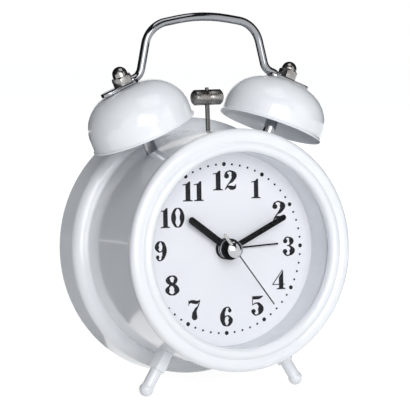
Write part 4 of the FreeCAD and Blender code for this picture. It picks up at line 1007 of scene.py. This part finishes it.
studio = {
    "floor": "#FAFAFA", "floorGlow": 0.8, "glow": 1.17, "worldLight": 0.34, "worldTint": "#EAF1FA",
    "card": "#1A1C20",
}
lamps = {    # where it stands, its size and power, and whether metal mirrors it
    "keyLamp": ((-0.2, -1.24, 0.5), 1.0, 11.8, True),
    "topLamp": ((0.0, -0.3, 1.25), 0.8, 2.6, True),
    "backLamp": ((0.45, 1.2, 0.95), 0.8, 11.0, False),
}
cards = {    # dark boards: where, width, height, what they face, and whether they also dim soft light
    "leftCard": ((-0.7, 0.25, 0.5), 1.6, 1.1, (0, 0, 0.2), True),
    "rightCard": ((0.8, 0.15, 0.5), 1.7, 1.1, (0, 0, 0.2), True),
    "backCard": ((0.0, 1.1, 0.95), 1.8, 1.0, (0, 0, 0.2), True),
    "backLeftCard": ((-0.42, 0.85, 0.45), 1.2, 1.0, (0, 0, 0.2), False),
    "lowCard": ((-0.23, 0.4, 0.0015), 1.06, 0.72, (-0.23, 0.4, 1.0), False),
    "browCard": ((-0.05, -1.1, 0.85), 1.4, 1.05, (0, 0, 0.12), False),
    "topCard": ((0.0, -0.1, 1.6), 2.4, 2.4, (0, -0.1, 0), False),
}
cameraView = {"spot": (-0.29884, -0.62881, 0.14826), "turn": (83.514, -1.174, -25.108), "lens": 161.17}


def seenDirectly(tree):
    # one for what the camera, a mirror or a glass sees
    path = addNode(tree, "ShaderNodeLightPath")
    first = addNode(tree, "ShaderNodeMath", {"operation": "MAXIMUM"},
                    {0: path.outputs["Is Camera Ray"], 1: path.outputs["Is Glossy Ray"]})
    return addNode(tree, "ShaderNodeMath", {"operation": "MAXIMUM"},
                   {0: first.outputs[0], 1: path.outputs["Is Transmission Ray"]}).outputs[0]


def makeFloor():
    bpy.ops.mesh.primitive_plane_add(size=6, location=(0, 0, 0))
    floor = bpy.context.object
    floor.name = "studioFloor"
    material = bpy.data.materials.new("paperFloor")
    material.use_nodes = True
    tree = material.node_tree
    tree.nodes.clear()
    paper = addNode(tree, "ShaderNodeBsdfDiffuse", {"Color": linear(studio["floor"])})
    glow = addNode(tree, "ShaderNodeEmission", {"Color": (1, 1, 1, 1), "Strength": studio["glow"]})
    share = addNode(tree, "ShaderNodeMath", {"operation": "MULTIPLY", 1: studio["floorGlow"]},
                    {0: seenDirectly(tree)})
    mix = addNode(tree, "ShaderNodeMixShader", {},
                  {0: share.outputs[0], 1: paper.outputs[0], 2: glow.outputs[0]})
    addNode(tree, "ShaderNodeOutputMaterial", {}, {"Surface": mix.outputs[0]})
    floor.data.materials.append(material)


def makeWorld():
    world = bpy.data.worlds.new("studioWorld")
    bpy.context.scene.world = world
    world.use_nodes = True
    tree = world.node_tree
    tree.nodes.clear()
    soft = addNode(tree, "ShaderNodeBackground",
                   {"Color": linear(studio["worldTint"]), "Strength": studio["worldLight"]})
    seen = addNode(tree, "ShaderNodeBackground", {"Color": (1, 1, 1, 1), "Strength": 1.0})
    mix = addNode(tree, "ShaderNodeMixShader", {},
                  {0: seenDirectly(tree), 1: soft.outputs[0], 2: seen.outputs[0]})
    addNode(tree, "ShaderNodeOutputWorld", {}, {"Surface": mix.outputs[0]})


def towards(spot, target):
    return (Vector(target) - Vector(spot)).to_track_quat("-Z", "Y").to_euler()


def makeLamp(name, spot, size, power, mirrored):
    data = bpy.data.lights.new(name, "AREA")
    data.shape = "SQUARE"
    data.size = size
    data.energy = power
    lamp = bpy.data.objects.new(name, data)
    bpy.context.scene.collection.objects.link(lamp)
    lamp.location = spot
    lamp.rotation_euler = towards(spot, (0, 0, 0.07))
    lamp.visible_glossy = mirrored


def makeCard(name, spot, width, height, target, soft):
    bpy.ops.mesh.primitive_plane_add(size=1, location=spot)
    card = bpy.context.object
    card.name = name
    card.scale = (width, height, 1)
    card.rotation_euler = towards(spot, target)
    card.visible_diffuse = soft
    card.visible_camera = False
    card.visible_transmission = False
    card.visible_shadow = False
    card.data.materials.append(cardFinish)


def flockedBoard():
    # black flocked board, so dull that it only takes light away
    material, tree, shader = newMaterial("flockedBoard", studio["card"], {"Roughness": 0.9})
    tone(tree, shader, noise(tree, 2.0, 3.0), studio["card"], "#222326")
    return material


def makeCamera():
    data = bpy.data.cameras.new("photoCamera")
    data.sensor_width = 36
    data.lens = cameraView["lens"]
    data.clip_start = 0.01
    data.clip_end = 50
    camera = bpy.data.objects.new("photoCamera", data)
    bpy.context.scene.collection.objects.link(camera)
    camera.location = cameraView["spot"]
    camera.rotation_euler = [math.radians(a) for a in cameraView["turn"]]
    bpy.context.scene.camera = camera


makeFloor()
makeWorld()
for name, (spot, size, power, mirrored) in lamps.items():
    makeLamp(name, spot, size, power, mirrored)
cardFinish = flockedBoard()
for name, (spot, width, height, target, soft) in cards.items():
    makeCard(name, spot, width, height, target, soft)
makeCamera()
bpy.context.scene.view_settings.view_transform = "Standard"
print("stage, lamps and camera set")
